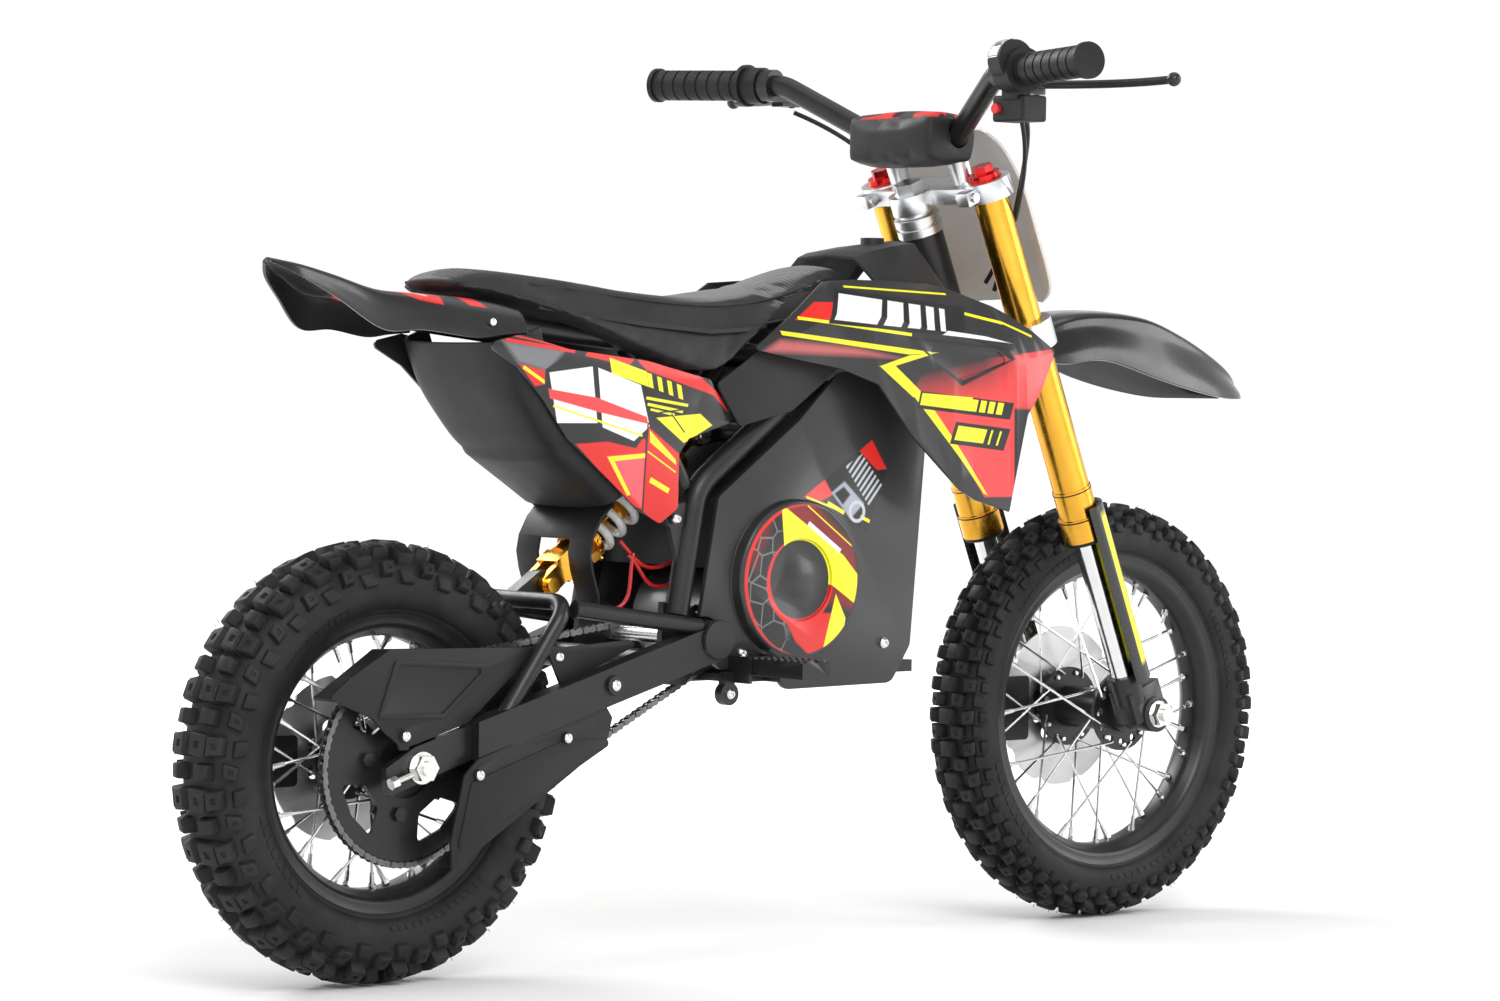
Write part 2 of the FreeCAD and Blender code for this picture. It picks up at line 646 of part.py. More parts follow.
def front_axle():
    pin = across(AXLE_R, FRONT_X, FRONT_R, -109, 109)
    parts = [pin]
    for side in (-1, 1):
        parts.append(across(14, FRONT_X, FRONT_R, min(94 * side, 96 * side), max(94 * side, 96 * side)))
        parts.append(hexagon(13, V(FRONT_X, 96 * side, FRONT_R), V(FRONT_X, 105 * side, FRONT_R)))
        lo, hi = sorted((49 * side, 60 * side))
        parts.append(across(10.5, FRONT_X, FRONT_R, lo, hi))
    return union(parts)


def front_caliper():
    body = box(-96, -54, 44, 60, -34, 34)
    body = body.makeFillet(5, [e for e in body.Edges if abs(e.BoundBox.YLength - 16) < 0.1])
    arm = box(-60, -24, 57.5, 60, -8, 20)
    body = union([body, arm])
    body.translate(V(FRONT_X, 0, FRONT_R))
    slot = turned([(50.8, 40), (50.8, 90), (56.2, 90), (56.2, 40)], FRONT_X, FRONT_R)
    return body.cut(slot).cut(fork_lugs())


def wheel_hub(x, z, y0, y1, flange_y, flange_r, barrel):
    parts = [across(barrel, x, z, y0, y1)]
    for y in (-flange_y, flange_y):
        parts.append(across(flange_r, x, z, y - 2, y + 2))
    return union(parts).cut(across(AXLE_R + RUN, x, z, y0 - 1, y1 + 1))


def front_hub():
    body = wheel_hub(FRONT_X, FRONT_R, -48, 48, 40, 42, 22)
    carrier = across(30, FRONT_X, FRONT_R, 42, 52).cut(across(12, FRONT_X, FRONT_R, 42, 53))
    body = union([body, carrier])
    for i in range(12):
        a = math.radians(30 * i)
        body = body.cut(across(4, FRONT_X + 33 * math.cos(a), FRONT_R + 33 * math.sin(a), -43, -37))
    return body


def rim(x, z, r, half):
    outer = [(-half, r), (-half + 2, r - 13), (-half * 0.45, r - 22), (half * 0.45, r - 22),
             (half - 2, r - 13), (half, r)]
    inner = [(half - 3.5, r), (half - 3.5, r - 10), (half * 0.4, r - 17), (-half * 0.4, r - 17),
             (-half + 3.5, r - 10),
             (-half + 3.5, r)]
    return turned(outer + inner, x, z)


def tyre(x, z, r, half, rim_r, rim_half):
    bead = rim_half - 3.5
    outer = [(-bead, rim_r - 9), (-bead, rim_r), (-rim_half, rim_r + 1), (-half, (r + rim_r) / 2 - 2),
             (-half + 2, r - 24),
             (-half * 0.72, r - 9), (-half * 0.38, r - 1.5), (0, r)]
    outer += [(-y, q) for y, q in reversed(outer[:-1])]
    inner = [(bead - 5, rim_r - 9), (bead - 4, rim_r + 4), (half - 6, (r + rim_r) / 2), (half - 8, r - 26),
             (half * 0.6, r - 18), (0, r - 14)]
    inner += [(-y, q) for y, q in reversed(inner[:-1])]
    return turned(outer + inner, x, z)


def spokes(x, z, count, flange_y, flange_r, rim_r, lean):
    group = []
    for i in range(count):
        side = 1 if i % 2 else -1
        turn = lean if (i // 2) % 2 else -lean
        out = 3.8 if (i // 2) % 2 else -3.8
        a = 2 * math.pi * i / count
        b = a + math.radians(turn)
        y0 = side * (flange_y + out)
        start = V(x + flange_r * math.cos(b), y0, z + flange_r * math.sin(b))
        stop = V(x + rim_r * math.cos(a), side * 5.0, z + rim_r * math.sin(a))
        group.append(rod(1.6, start, stop))
    return group


def disc(x, z, y0, y1, r_out, r_in, waves):
    """Wave brake disc with a carrier ring and slots."""
    body = across(r_out, x, z, y0, y1).cut(across(r_in, x, z, y0 - 1, y1 + 1))
    for i in range(waves):
        a = 2 * math.pi * i / waves
        bite = across(12, x + (r_out + 8) * math.cos(a), z + (r_out + 8) * math.sin(a), y0 - 1, y1 + 1)
        a += math.pi / waves
        hole = across(7, x + (r_in + 15) * math.cos(a), z + (r_in + 15) * math.sin(a), y0 - 1, y1 + 1)
        body = body.cut(bite).cut(hole)
    return body


def front_disc():
    return disc(FRONT_X, FRONT_R, 52, 55, 85, 20, 10)


# ---------------------------------------------------------------- swingarm and rear wheel
def swingarm():
    parts = [across(12, -215, 296, -96, 96)]
    parts.append(bent([V(-392, -84, 248), V(-316, -86, 355), V(-316, 86, 355), V(-392, 84, 248)], 8, 22))
    lug = plate([(-290, 381), (-276, 356), (-312, 346), (-322, 360)], -8, 8)
    lug = lug.fuse(across(14, -283, 368, -8, 8))
    parts.append(lug)
    for side in (-1, 1):
        arm = skin([[V(-150, 92, 297), V(-150, 112, 297), V(-150, 112, 333), V(-150, 92, 333)],
                    [V(-425, 72, 212), V(-425, 92, 212), V(-425, 92, 247.5), V(-425, 72, 247.5)]])
        boss = across(18, PIVOT_X, PIVOT_Z, 70, 114)
        end = plate([(-405, 250), (-490, 226), (-522, 208), (-519, 182), (-405, 218)], 72, 80, 3)
        brace = rod(8, V(-310, 87, 349), V(-168, 101, 329))
        lip = across(9, -274, 277, 96, 106)
        for shape in (arm, boss, end, brace, lip):
            parts.append(shape if side > 0 else mirror(shape))
    body = union(parts)
    body = body.cut(across(PIVOT_R + RUN, PIVOT_X, PIVOT_Z, -110.5, 110.5))
    body = body.cut(across(5.6, EYE_LOW.x, EYE_LOW.z, -10, 10))
    slope = math.atan2(0.335, 1)
    for s in range(-10, 11, 5):
        x = REAR_X + s * math.cos(slope)
        z = REAR_R + s * math.sin(slope)
        body = body.cut(across(AXLE_R, x, z, 71, 93)).cut(across(AXLE_R, x, z, -93, -71))
    return body


def chain_guards():
    face = [(-517, 317), (-345, 314), (-428, 246), (-456, 238), (-487, 229), (-502, 226), (-522, 240),
            (-536, 254),
            (-573, 269), (-586, 274), (-562, 292)]
    upper = plate(face, -79, -76, 3)
    outer = plate([(-512, 307), (-401, 300), (-456, 252), (-532, 254)], -81, -78, 3)
    ribs = outer.cut(plate([(-508, 303), (-410, 296), (-458, 256), (-526, 258)], -85, -75, 3))
    flange = plate([(-425, 313.8), (-515.5, 315.6), (-581, 273.6), (-579.5, 271), (-515, 312.4),
                    (-425, 310.6)],
                   -77.5, -48)
    foot = plate([(-512, 240), (-492, 236), (-496, 224), (-506, 224)], -79, -76)
    foot = foot.cut(swingarm())
    upper = union([upper, ribs, flange, foot])
    blade = [(-428, 213), (-336, 242), (-279, 260), (-269, 246), (-276, 221), (-456, 111), (-458, 139),
             (-443, 199)]
    lower = plate(blade, -95, -92, 2)
    lip = plate([(-279, 221), (-454, 114), (-452.4, 116.6), (-277.4, 223.6)], -93.5, -68)
    rise = plate([(-436, 192), (-330, 226), (-262, 226), (-452, 128)], -96.5, -94, 4)
    lower = union([lower, lip, rise]).cut(swingarm())
    small = plate([(-340, 312), (-240, 318), (-231, 313), (-322, 276)], -84, -81, 3).cut(swingarm())
    bolts = [across(5.5, -325, 229, -99, -94.5), across(5.5, -428, 199, -99, -94.5),
             across(5.5, -502, 237, -84, -78)]
    lower = union([lower] + bolts[:2]).cut(swingarm())
    upper = union([upper, bolts[2]]).cut(swingarm())
    return Part.makeCompound([upper, lower, small])


def rear_axle():
    parts = [across(AXLE_R, REAR_X, REAR_R, -93, 93)]
    studs = []
    for side in (-1, 1):
        lo, hi = sorted((80 * side, 82 * side))
        parts.append(across(15, REAR_X, REAR_R, lo, hi))
        parts.append(hexagon(13, V(REAR_X, 82 * side, REAR_R), V(REAR_X, 90 * side, REAR_R)))
        lo, hi = sorted((51.5 * side, 72 * side))
        parts.append(across(10.5, REAR_X, REAR_R, lo, hi))
        y = 86.3 * side
        stud = rod(3, V(-497, y, 202), V(-514, y, 196.5))
        studs.append(stud.fuse(hexagon(6, V(-514, y, 196.5), V(-521, y, 194.2))))
    return Part.makeCompound([union(parts)] + studs)


def rear_caliper():
    body = box(-92, -52, 43, 62, -24, 24)
    body = body.makeFillet(5, [e for e in body.Edges if abs(e.BoundBox.YLength - 19) < 0.1])
    arm = box(-70, -22, 60, 72, -16, 10)
    body = union([body, arm])
    body.translate(V(REAR_X, 0, REAR_R))
    slot = turned([(48.8, 40), (48.8, 86), (53.7, 86), (53.7, 40)], REAR_X, REAR_R)
    return body.cut(slot)


def loop(grow, y0, y1):
    """Closed belt shape around both sprockets, moved outward by grow."""
    ra = REAR_PITCH_R + grow
    rb = DRIVE_PITCH_R + grow
    dx = MOTOR_X - REAR_X
    dz = MOTOR_Z - REAR_R
    dist = math.hypot(dx, dz)
    base = math.atan2(dz, dx)
    tilt = math.acos((ra - rb) / dist)

    def on(x, z, r, angle):
        return V(x + r * math.cos(angle), y0, z + r * math.sin(angle))
    a0 = on(REAR_X, REAR_R, ra, base + tilt)
    a1 = on(REAR_X, REAR_R, ra, base + math.pi)
    a2 = on(REAR_X, REAR_R, ra, base - tilt)
    b0 = on(MOTOR_X, MOTOR_Z, rb, base - tilt)
    b1 = on(MOTOR_X, MOTOR_Z, rb, base)
    b2 = on(MOTOR_X, MOTOR_Z, rb, base + tilt)
    wire = Part.Wire([Part.Arc(a0, a1, a2).toShape(), Part.makeLine(a2, b0), Part.Arc(b0, b1, b2).toShape(),
                      Part.makeLine(b2, a0)])
    return Part.Face(wire).extrude(V(0, y1 - y0, 0))


def chain():
    return loop(3.6, CHAIN_Y0, CHAIN_Y1).cut(loop(-3.6, CHAIN_Y0 - 1, CHAIN_Y1 + 1))


def rear_hub():
    body = wheel_hub(REAR_X, REAR_R, -51, 50, 36, 38, 24)
    carrier = across(54, REAR_X, REAR_R, -51, -46)
    flange = across(32, REAR_X, REAR_R, 45, 50)
    body = union([body, carrier, flange])
    for i in range(4):
        a = math.radians(35 + 90 * i)
        bite = across(16, REAR_X + 58 * math.cos(a), REAR_R + 58 * math.sin(a), -52, -45)
        body = body.cut(bite)
    return body.cut(across(AXLE_R + RUN, REAR_X, REAR_R, -60, 60))


def rear_sprocket():
    body = across(REAR_PITCH_R - 4, REAR_X, REAR_R, -55, -51).cut(across(30, REAR_X, REAR_R, -56, -50))
    for i in range(4):
        a0 = 35 + 90 * i
        window = []
        for da in (-24, 0, 24):
            a = math.radians(a0 + da)
            window.append((REAR_X + 74 * math.cos(a), REAR_R + 74 * math.sin(a)))
        for da in (16, -16):
            a = math.radians(a0 + da)
            window.append((REAR_X + 48 * math.cos(a), REAR_R + 48 * math.sin(a)))
        body = body.cut(plate(window, -56, -50, 4))
    parts = [body]
    for i in range(4):
        a = math.radians(80 + 90 * i)
        x = REAR_X + 45 * math.cos(a)
        z = REAR_R + 45 * math.sin(a)
        parts.append(hexagon(7, V(x, -54, z), V(x, -60, z)))
    return union(parts)


def rear_disc():
    return disc(REAR_X, REAR_R, 50, 52.5, 78, 16, 8)


# ---------------------------------------------------------------- shock
def shock_rod():
    parts = [box(-13, 13, -16, 16, 20, 36), rod(16, V(0, 0, 36), V(0, 0, 63)),
             rod(24, V(0, 0, 63), V(0, 0, 69)),
             rod(21, V(0, 0, 69), V(0, 0, 72)), rod(6, V(0, 0, 60), V(0, 0, 150))]
    parts.append(rod(19, V(0, 0, 50), V(0, 0, 55)))
    for side in (-1, 1):
        lo, hi = sorted((9 * side, 16 * side))
        parts.append(box(-10, 10, lo, hi, 0, 24))
        parts.append(across(10, 0, 0, lo, hi))
        lo, hi = sorted((16 * side, 22 * side))
        parts.append(across(7.5, 0, 0, lo, hi))
    parts.append(across(5, 0, 0, -18, 18))
    return shock(union(parts))


def shock_body():
    top = SHOCK_LEN
    parts = [across(11, 0, top, -14.5, 14.5), rod(12, V(0, 0, top - 30), V(0, 0, top - 4)),
             rod(24, V(0, 0, top - 34), V(0, 0, top - 28)), rod(14, V(0, 0, 110), V(0, 0, top - 30))]
    body = union(parts).cut(rod(6 + RUN, V(0, 0, 109), V(0, 0, 192)))
    return shock(body.cut(across(5 + RUN, 0, top, -15, 15)))


def shock_spring():
    low = 72 + 4.4
    high = SHOCK_LEN - 34 - 4.4
    mean = 21.5
    helix = Part.makeHelix((high - low) / 6.0, high - low, mean)
    section = Part.Wire(Part.makeCircle(4.2, V(mean, 0, 0), V(0, 1, 0)))
    coil = Part.Wire(helix).makePipeShell([section], True, True)
    coil.translate(V(0, 0, low))
    return shock(coil)


# ---------------------------------------------------------------- foot pegs
def peg_right():
    x0 = PEG_X - 17.5
    x1 = PEG_X + 17.5
    knuckle = Part.makeCylinder(9, x1 - x0, V(x0, PEG_Y, PEG_Z), V(1, 0, 0))
    frame = box(x0, x1, -194, PEG_Y - 4, PEG_Z - 9, PEG_Z + 9)
    wells = [box(x0 + 5, PEG_X - 2.5, -189, PEG_Y - 14, 270, 310),
             box(PEG_X + 2.5, x1 - 5, -189, PEG_Y - 14, 270, 310)]
    body = union([knuckle, frame]).cut(wells[0]).cut(wells[1])
    for i in range(8):
        y = PEG_Y - 14 - 9.5 * i
        for x in (x0, PEG_X - 2.5, x1 - 5):
            notch = Part.makeCylinder(2.6, 5, V(x, y, PEG_Z + 9), V(1, 0, 0))
            body = body.cut(notch)
    return body.cut(Part.makeCylinder(4 + RUN, 60, V(x0 - 10, PEG_Y, PEG_Z), V(1, 0, 0)))


def build():
    save("frame_main", frame_main())
    save("battery_case", battery_case())
    save("side_covers", both(side_cover()))
    save("battery_pack", battery_pack())
    save("motor", motor())
    save("drive_sprocket", drive_sprocket())
    save("headset_cups", headset_cups())
    save("pivot_bolts", pivot_bolts())
    save("seat_cushion", seat_cushion())
    save("seat_base", seat_base())
    save("tank_cover", tank_cover())
    save("shrouds", both(shroud()))
    save("frame_panels", both(frame_panel()))
    save("number_panels", both(number_panel()))
    save("rear_fender", rear_fender())
    save("inner_fender", inner_fender())
    save("mud_flap", mud_flap())
    save("cover_screws", cover_screws())
    save("steering_stem", steering_stem())
    save("upper_clamp", upper_clamp())
    save("fork_outer_tubes", fork_outer_tubes())
    save("fork_caps", fork_caps())
    save("handlebar", handlebar())
    save("bar_pad", bar_pad())
    save("grip_left", grip_left())
    save("twist_grip", twist_grip())
    save("throttle_housing", throttle_housing())
    save("kill_button", kill_button())
    save("lever_perches", both(lever_perches()))
    save("brake_lever_right", brake_lever())
    save("brake_lever_left", mirror(brake_lever()))
    save("control_cables", control_cables())
    save("front_number_plate", front_number_plate())
    save("front_fender", front_fender())
    save("fork_inner_tubes", fork_inner_tubes())
    save("fork_lugs", fork_lugs())
    save("fork_guards", fork_guards())
    save("front_axle", front_axle())
    save("front_caliper", front_caliper())
    save("front_hub", front_hub())
    save("front_rim", rim(FRONT_X, FRONT_R, FRONT_RIM_R, 24.4))
    save("front_spokes", Part.makeCompound(spokes(FRONT_X, FRONT_R, 32, 40, 36, FRONT_RIM_R - 23.2, 42)))
    save("front_tyre", tyre(FRONT_X, FRONT_R, FRONT_R, FRONT_HALF, FRONT_RIM_R, 24.4))
    save("front_disc", front_disc())
    save("swingarm", swingarm())
    save("chain_guards", chain_guards())
    save("rear_axle", rear_axle())
    save("rear_caliper", rear_caliper())
    save("chain", chain())
    save("rear_hub", rear_hub())
    save("rear_rim", rim(REAR_X, REAR_R, REAR_RIM_R, 28))
    save("rear_spokes", Part.makeCompound(spokes(REAR_X, REAR_R, 32, 36, 33, REAR_RIM_R - 23.2, 42)))
    save("rear_tyre", tyre(REAR_X, REAR_R, REAR_R, REAR_HALF, REAR_RIM_R, 28))
    save("rear_disc", rear_disc())
    save("rear_sprocket", rear_sprocket())
    save("shock_rod", shock_rod())
    save("shock_body", shock_body())
    save("shock_spring", shock_spring())
    save("peg_right", peg_right())
    save("peg_left", mirror(peg_right()))


build()
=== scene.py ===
import json
import math
import random

import bmesh
import bpy
import numpy as np
from mathutils import Matrix, Vector
from mathutils.bvhtree import BVHTree


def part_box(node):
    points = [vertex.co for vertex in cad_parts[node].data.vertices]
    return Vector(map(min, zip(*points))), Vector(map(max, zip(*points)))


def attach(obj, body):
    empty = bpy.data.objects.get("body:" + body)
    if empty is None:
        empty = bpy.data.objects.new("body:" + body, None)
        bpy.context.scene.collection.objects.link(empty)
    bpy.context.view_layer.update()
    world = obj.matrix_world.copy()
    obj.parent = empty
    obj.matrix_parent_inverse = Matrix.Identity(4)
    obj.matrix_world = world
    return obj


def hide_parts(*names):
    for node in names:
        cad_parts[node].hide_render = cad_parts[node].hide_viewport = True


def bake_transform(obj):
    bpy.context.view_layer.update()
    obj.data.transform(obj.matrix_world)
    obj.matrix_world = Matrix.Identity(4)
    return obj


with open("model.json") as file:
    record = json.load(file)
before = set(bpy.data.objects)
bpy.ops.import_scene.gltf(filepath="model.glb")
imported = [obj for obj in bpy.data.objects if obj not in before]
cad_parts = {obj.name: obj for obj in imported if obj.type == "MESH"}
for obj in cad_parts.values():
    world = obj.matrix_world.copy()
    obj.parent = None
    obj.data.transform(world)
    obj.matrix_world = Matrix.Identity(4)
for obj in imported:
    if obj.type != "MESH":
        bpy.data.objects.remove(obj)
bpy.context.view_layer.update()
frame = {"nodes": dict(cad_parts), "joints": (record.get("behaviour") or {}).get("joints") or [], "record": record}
NODES = frame["nodes"]
BODY = {node: body for body, nodes in frame["record"]["behaviour"]["bodies"].items() for node in nodes}
SLOT = {part["node"]: part["material_slot"] for part in frame["record"]["subparts"]}
JOINT = {joint["name"]: joint for joint in frame["joints"]}
MM = 0.001


# ------------------------------------------------------------ places taken from the frame
REAR_AXLE = Vector(JOINT["rear_wheel_spin"]["pos_m"])
FRONT_AXLE = Vector(JOINT["front_wheel_spin"]["pos_m"])
MOTOR_SHAFT = Vector(JOINT["drive_sprocket_spin"]["pos_m"])
STEER_AXIS = Vector(JOINT["steering"]["axis"]).normalized()
STEER_POS = Vector(JOINT["steering"]["pos_m"])
SHOCK_AXIS = Vector(JOINT["shock_slide"]["axis"]).normalized()
SHOCK_TOP = Vector(JOINT["shock_pivot"]["pos_m"])
SHOCK_LENGTH = 0.2291  # between its eyes at rest
GRIP_AXIS = Vector(JOINT["throttle_twist"]["axis"]).normalized()
FORWARD = Vector((0, 1, 0)).cross(STEER_AXIS).normalized()
TYRE_R = {"rear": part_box("rear_tyre")[1].z - REAR_AXLE.z,
          "front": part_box("front_tyre")[1].z - FRONT_AXLE.z}


def at_fork(x, y, z):
    """Point given in millimetres in the upright steering frame."""
    return STEER_POS + FORWARD * (x * MM) + Vector((0, y * MM, 0)) + STEER_AXIS * (z * MM)


def at_shock(r, turn, s):
    """Point s millimetres up the shock from its lower eye, at radius r and an angle about it."""
    low = SHOCK_TOP - SHOCK_AXIS * SHOCK_LENGTH
    side = Vector((0, 1, 0))
    up = SHOCK_AXIS.cross(side)
    return low + SHOCK_AXIS * (s * MM) + (side * math.cos(turn) + up * math.sin(turn)) * (r * MM)


# ------------------------------------------------------------ shading
class Look:
    """A node material under construction."""

    def __init__(self, name, color=(0.5, 0.5, 0.5), metal=0.0, rough=0.5, coat=0.0, coat_rough=0.1, ior=1.5,
                 sheen=0.0, shine=0.5):
        self.mat = bpy.data.materials.new(name)
        self.mat.use_nodes = True
        self.tree = self.mat.node_tree
        self.shader = next(n for n in self.tree.nodes if n.type == "BSDF_PRINCIPLED")
        self.put("Base Color", (*color, 1))
        self.put("Metallic", metal)
        self.put("Roughness", rough)
        self.put("Coat Weight", coat)
        self.put("Coat Roughness", coat_rough)
        self.put("IOR", ior)
        self.put("Sheen Weight", sheen)
        self.put("Specular IOR Level", shine)
        self.place = self.make("ShaderNodeTexCoord").outputs["Object"]
        self.parts = None

    def put(self, socket, value):
        self.join(self.shader.inputs[socket], value)

    def join(self, socket, value):
        if isinstance(value, bpy.types.NodeSocket):
            self.tree.links.new(value, socket)
        elif value is not None:
            socket.default_value = value

    def make(self, kind, **values):
        node = self.tree.nodes.new(kind)
        for key, value in values.items():
            setattr(node, key, value)
        return node

    def math(self, operation, a, b=0.0, c=0.0):
        node = self.make("ShaderNodeMath", operation=operation)
        for socket, value in zip(node.inputs, (a, b, c)):
            self.join(socket, value)
        return node.outputs[0]

    def scaled(self, x, y, z):
        node = self.make("ShaderNodeMapping")
        self.join(node.inputs["Vector"], self.place)
        node.inputs["Scale"].default_value = (x, y, z)
        return node.outputs[0]

    def noise(self, scale, detail=4.0, rough=0.5, place=None):
        node = self.make("ShaderNodeTexNoise")
        self.join(node.inputs["Vector"], place or self.place)
        self.join(node.inputs["Scale"], scale)
        self.join(node.inputs["Detail"], detail)
        self.join(node.inputs["Roughness"], rough)
        return node.outputs["Fac"]

    def cells(self, scale, feature="F1", place=None):
        node = self.make("ShaderNodeTexVoronoi", feature=feature)
        self.join(node.inputs["Vector"], place or self.place)
        self.join(node.inputs["Scale"], scale)
        return node.outputs["Distance"]

    def span(self, value, low, high, to_low=0.0, to_high=1.0):
        node = self.make("ShaderNodeMapRange")
        for socket, number in zip(node.inputs, (value, low, high, to_low, to_high)):
            self.join(socket, number)
        return node.outputs[0]

    def mix(self, fac, a, b):
        node = self.make("ShaderNodeMix", data_type="RGBA")
        self.join(node.inputs["Factor"], fac)
        self.join(node.inputs[6], a if isinstance(a, bpy.types.NodeSocket) else (*a, 1))
        self.join(node.inputs[7], b if isinstance(b, bpy.types.NodeSocket) else (*b, 1))
        return node.outputs[2]

    def bump(self, height, depth, strength=1.0, over=None):
        node = self.make("ShaderNodeBump")
        node.inputs["Strength"].default_value = strength
        node.inputs["Distance"].default_value = depth
        self.join(node.inputs["Height"], height)
        if over is not None:
            self.join(node.inputs["Normal"], over)
        self.put("Normal", node.outputs[0])
        return node.outputs[0]

    def xyz(self):
        if self.parts is None:
            node = self.make("ShaderNodeSeparateXYZ")
            self.join(node.inputs[0], self.place)
            self.parts = node.outputs
        return self.parts

    def facing(self, axis):
        """How far the surface faces along an axis."""
        split = self.make("ShaderNodeSeparateXYZ")
        self.join(split.inputs[0], self.make("ShaderNodeNewGeometry").outputs["Normal"])
        return split.outputs[axis]

    def inside(self, points, soft=0.5):
        """1 inside a convex outline in the XZ plane given in millimetres, 0 outside it."""
        u, v = self.xyz()["X"], self.xyz()["Z"]
        area = sum(a[0] * b[1] - b[0] * a[1] for a, b in zip(points, points[1:] + points[:1]))
        turn = 1 if area > 0 else -1
        least = None
        for (x0, z0), (x1, z1) in zip(points, points[1:] + points[:1]):
            length = math.hypot(x1 - x0, z1 - z0)
            nx = -(z1 - z0) / length * turn
            nz = (x1 - x0) / length * turn
            reach = self.math("MULTIPLY_ADD", v, nz, -(nx * x0 + nz * z0) * MM)
            reach = self.math("MULTIPLY_ADD", u, nx, reach)
            least = reach if least is None else self.math("MINIMUM", least, reach)
        return self.span(least, -soft * MM, soft * MM)

    def circle(self, x, z, r, soft=0.5):
        """1 within r of a point in the XZ plane."""
        u = self.math("SUBTRACT", self.xyz()["X"], x * MM)
        v = self.math("SUBTRACT", self.xyz()["Z"], z * MM)
        far = self.math("SQRT", self.math("ADD", self.math("MULTIPLY", u, u), self.math("MULTIPLY", v, v)))
        return self.span(far, (r + soft) * MM, (r - soft) * MM)

    def worn(self, color, amount=0.25, scale=14.0):
        """Colour with slow uneven variation."""
        darker = tuple(c * (1 - amount) for c in color)
        lighter = tuple(min(1.0, c * (1 + amount) + 0.004) for c in color)
        return self.mix(self.span(self.noise(scale, 5, 0.6), 0.3, 0.7), darker, lighter)

    def uneven(self, low, high, scale=30.0):
        self.put("Roughness", self.span(self.noise(scale, 6, 0.65), 0.25, 0.75, low, high))


def grained_plastic(name, color, rough=0.48, grain=900.0, depth=0.00012):
    look = Look(name, color, ior=1.46, shine=0.30)
    look.put("Base Color", look.worn(color, 0.10, 9))
    look.uneven(rough - 0.06, rough + 0.08, 22)
    look.bump(look.cells(grain), depth, 0.55)
    return look


def gloss_plastic(name, color, rough=0.24):
    look = Look(name, color, coat=0.25, coat_rough=0.12)
    look.put("Base Color", look.worn(color, 0.12, 11))
    look.uneven(rough - 0.06, rough + 0.1, 26)
    look.bump(look.noise(260, 3), 0.00006, 0.35)
    return look


def coated_metal(name, color, rough=0.38):
    look = Look(name, color, coat=0.12, coat_rough=0.2, shine=0.38)
    look.put("Base Color", look.worn(color, 0.16, 20))
    look.uneven(rough - 0.08, rough + 0.1, 40)
    look.bump(look.noise(520, 3), 0.00010, 0.5)
    return look


def metal(name, color, rough=0.3, grain=700.0, depth=0.00006, vary=0.08):
    look = Look(name, color, metal=1.0)
    look.put("Base Color", look.worn(color, vary, 25))
    look.uneven(rough - 0.07, rough + 0.1, 60)
    look.bump(look.noise(grain, 3), depth, 0.5)
    return look


def brushed(name, color, rough=0.32, stretch=(60, 900, 60)):
    look = Look(name, color, metal=1.0)
    lines = look.noise(9, 5, 0.6, look.scaled(*stretch))
    look.put("Base Color", look.mix(look.span(lines, 0.35, 0.65), tuple(c * 0.8 for c in color), color))
    look.put("Roughness", look.span(lines, 0.3, 0.7, rough - 0.08, rough + 0.14))
    look.bump(lines, 0.00005, 0.5)
    return look


def rubber(name, color, rough=0.62, scale=420.0, depth=0.0002, dust=0.05):
    look = Look(name, color, ior=1.45, shine=0.32)
    dusty = look.span(look.noise(24, 6, 0.7), 0.45, 0.75)
    look.put("Base Color", look.mix(dusty, color, tuple(c + dust * 0.6 for c in color)))
    look.uneven(rough - 0.1, rough + 0.12, 34)
    fine = look.noise(scale, 5, 0.7)
    look.bump(fine, depth, 0.5)
    return look


RIB_PITCH = 0.0042


def vinyl(name, color, rib_from=None):
    """Grained vinyl; from rib_from forward its level top is pale and ribbed. The ribbed top's colour has painted
    highlight on the rib crests and painted shade in the grooves.
    """
    look = Look(name, color, ior=1.46, sheen=0.04, shine=0.34)
    look.put("Base Color", look.worn(color, 0.14, 16))
    look.uneven(0.42, 0.6, 30)
    pores = look.cells(420)
    creases = look.noise(190, 6, 0.65)
    height = look.math("ADD", look.math("MULTIPLY", pores, 0.7), look.math("MULTIPLY", creases, 0.6))
    look.bump(height, 0.00022, 0.6)
    if rib_from is None:
        return look
    wave = look.make("ShaderNodeTexWave", wave_type="BANDS", bands_direction="X", wave_profile="SIN")
    look.join(wave.inputs["Vector"], look.place)
    wave.inputs["Scale"].default_value = 1 / (math.pi * RIB_PITCH)
    top = look.span(look.facing("Z"), 0.86, 0.93)
    rib = look.math("MULTIPLY", wave.outputs["Fac"], top)
    look.bump(look.math("ADD", look.math("MULTIPLY", height, 0.2), rib), 0.0010, 0.9)
    crest = look.span(look.xyz()["X"], rib_from - 0.03, rib_from + 0.04)
    dark = look.worn(color, 0.14, 16)
    # painted highlight and shade: the colour follows the rib wave, lighter on the crests and darker in the
    # grooves, on the pale front top and on the dark tail top alike
    pale = look.mix(wave.outputs["Fac"], (0.05, 0.05, 0.053), (0.24, 0.24, 0.25))
    tail = look.mix(wave.outputs["Fac"], (0.012, 0.012, 0.013), (0.035, 0.035, 0.037))
    look.put("Base Color", look.mix(top, dark, look.mix(crest, tail, pale)))
    return look


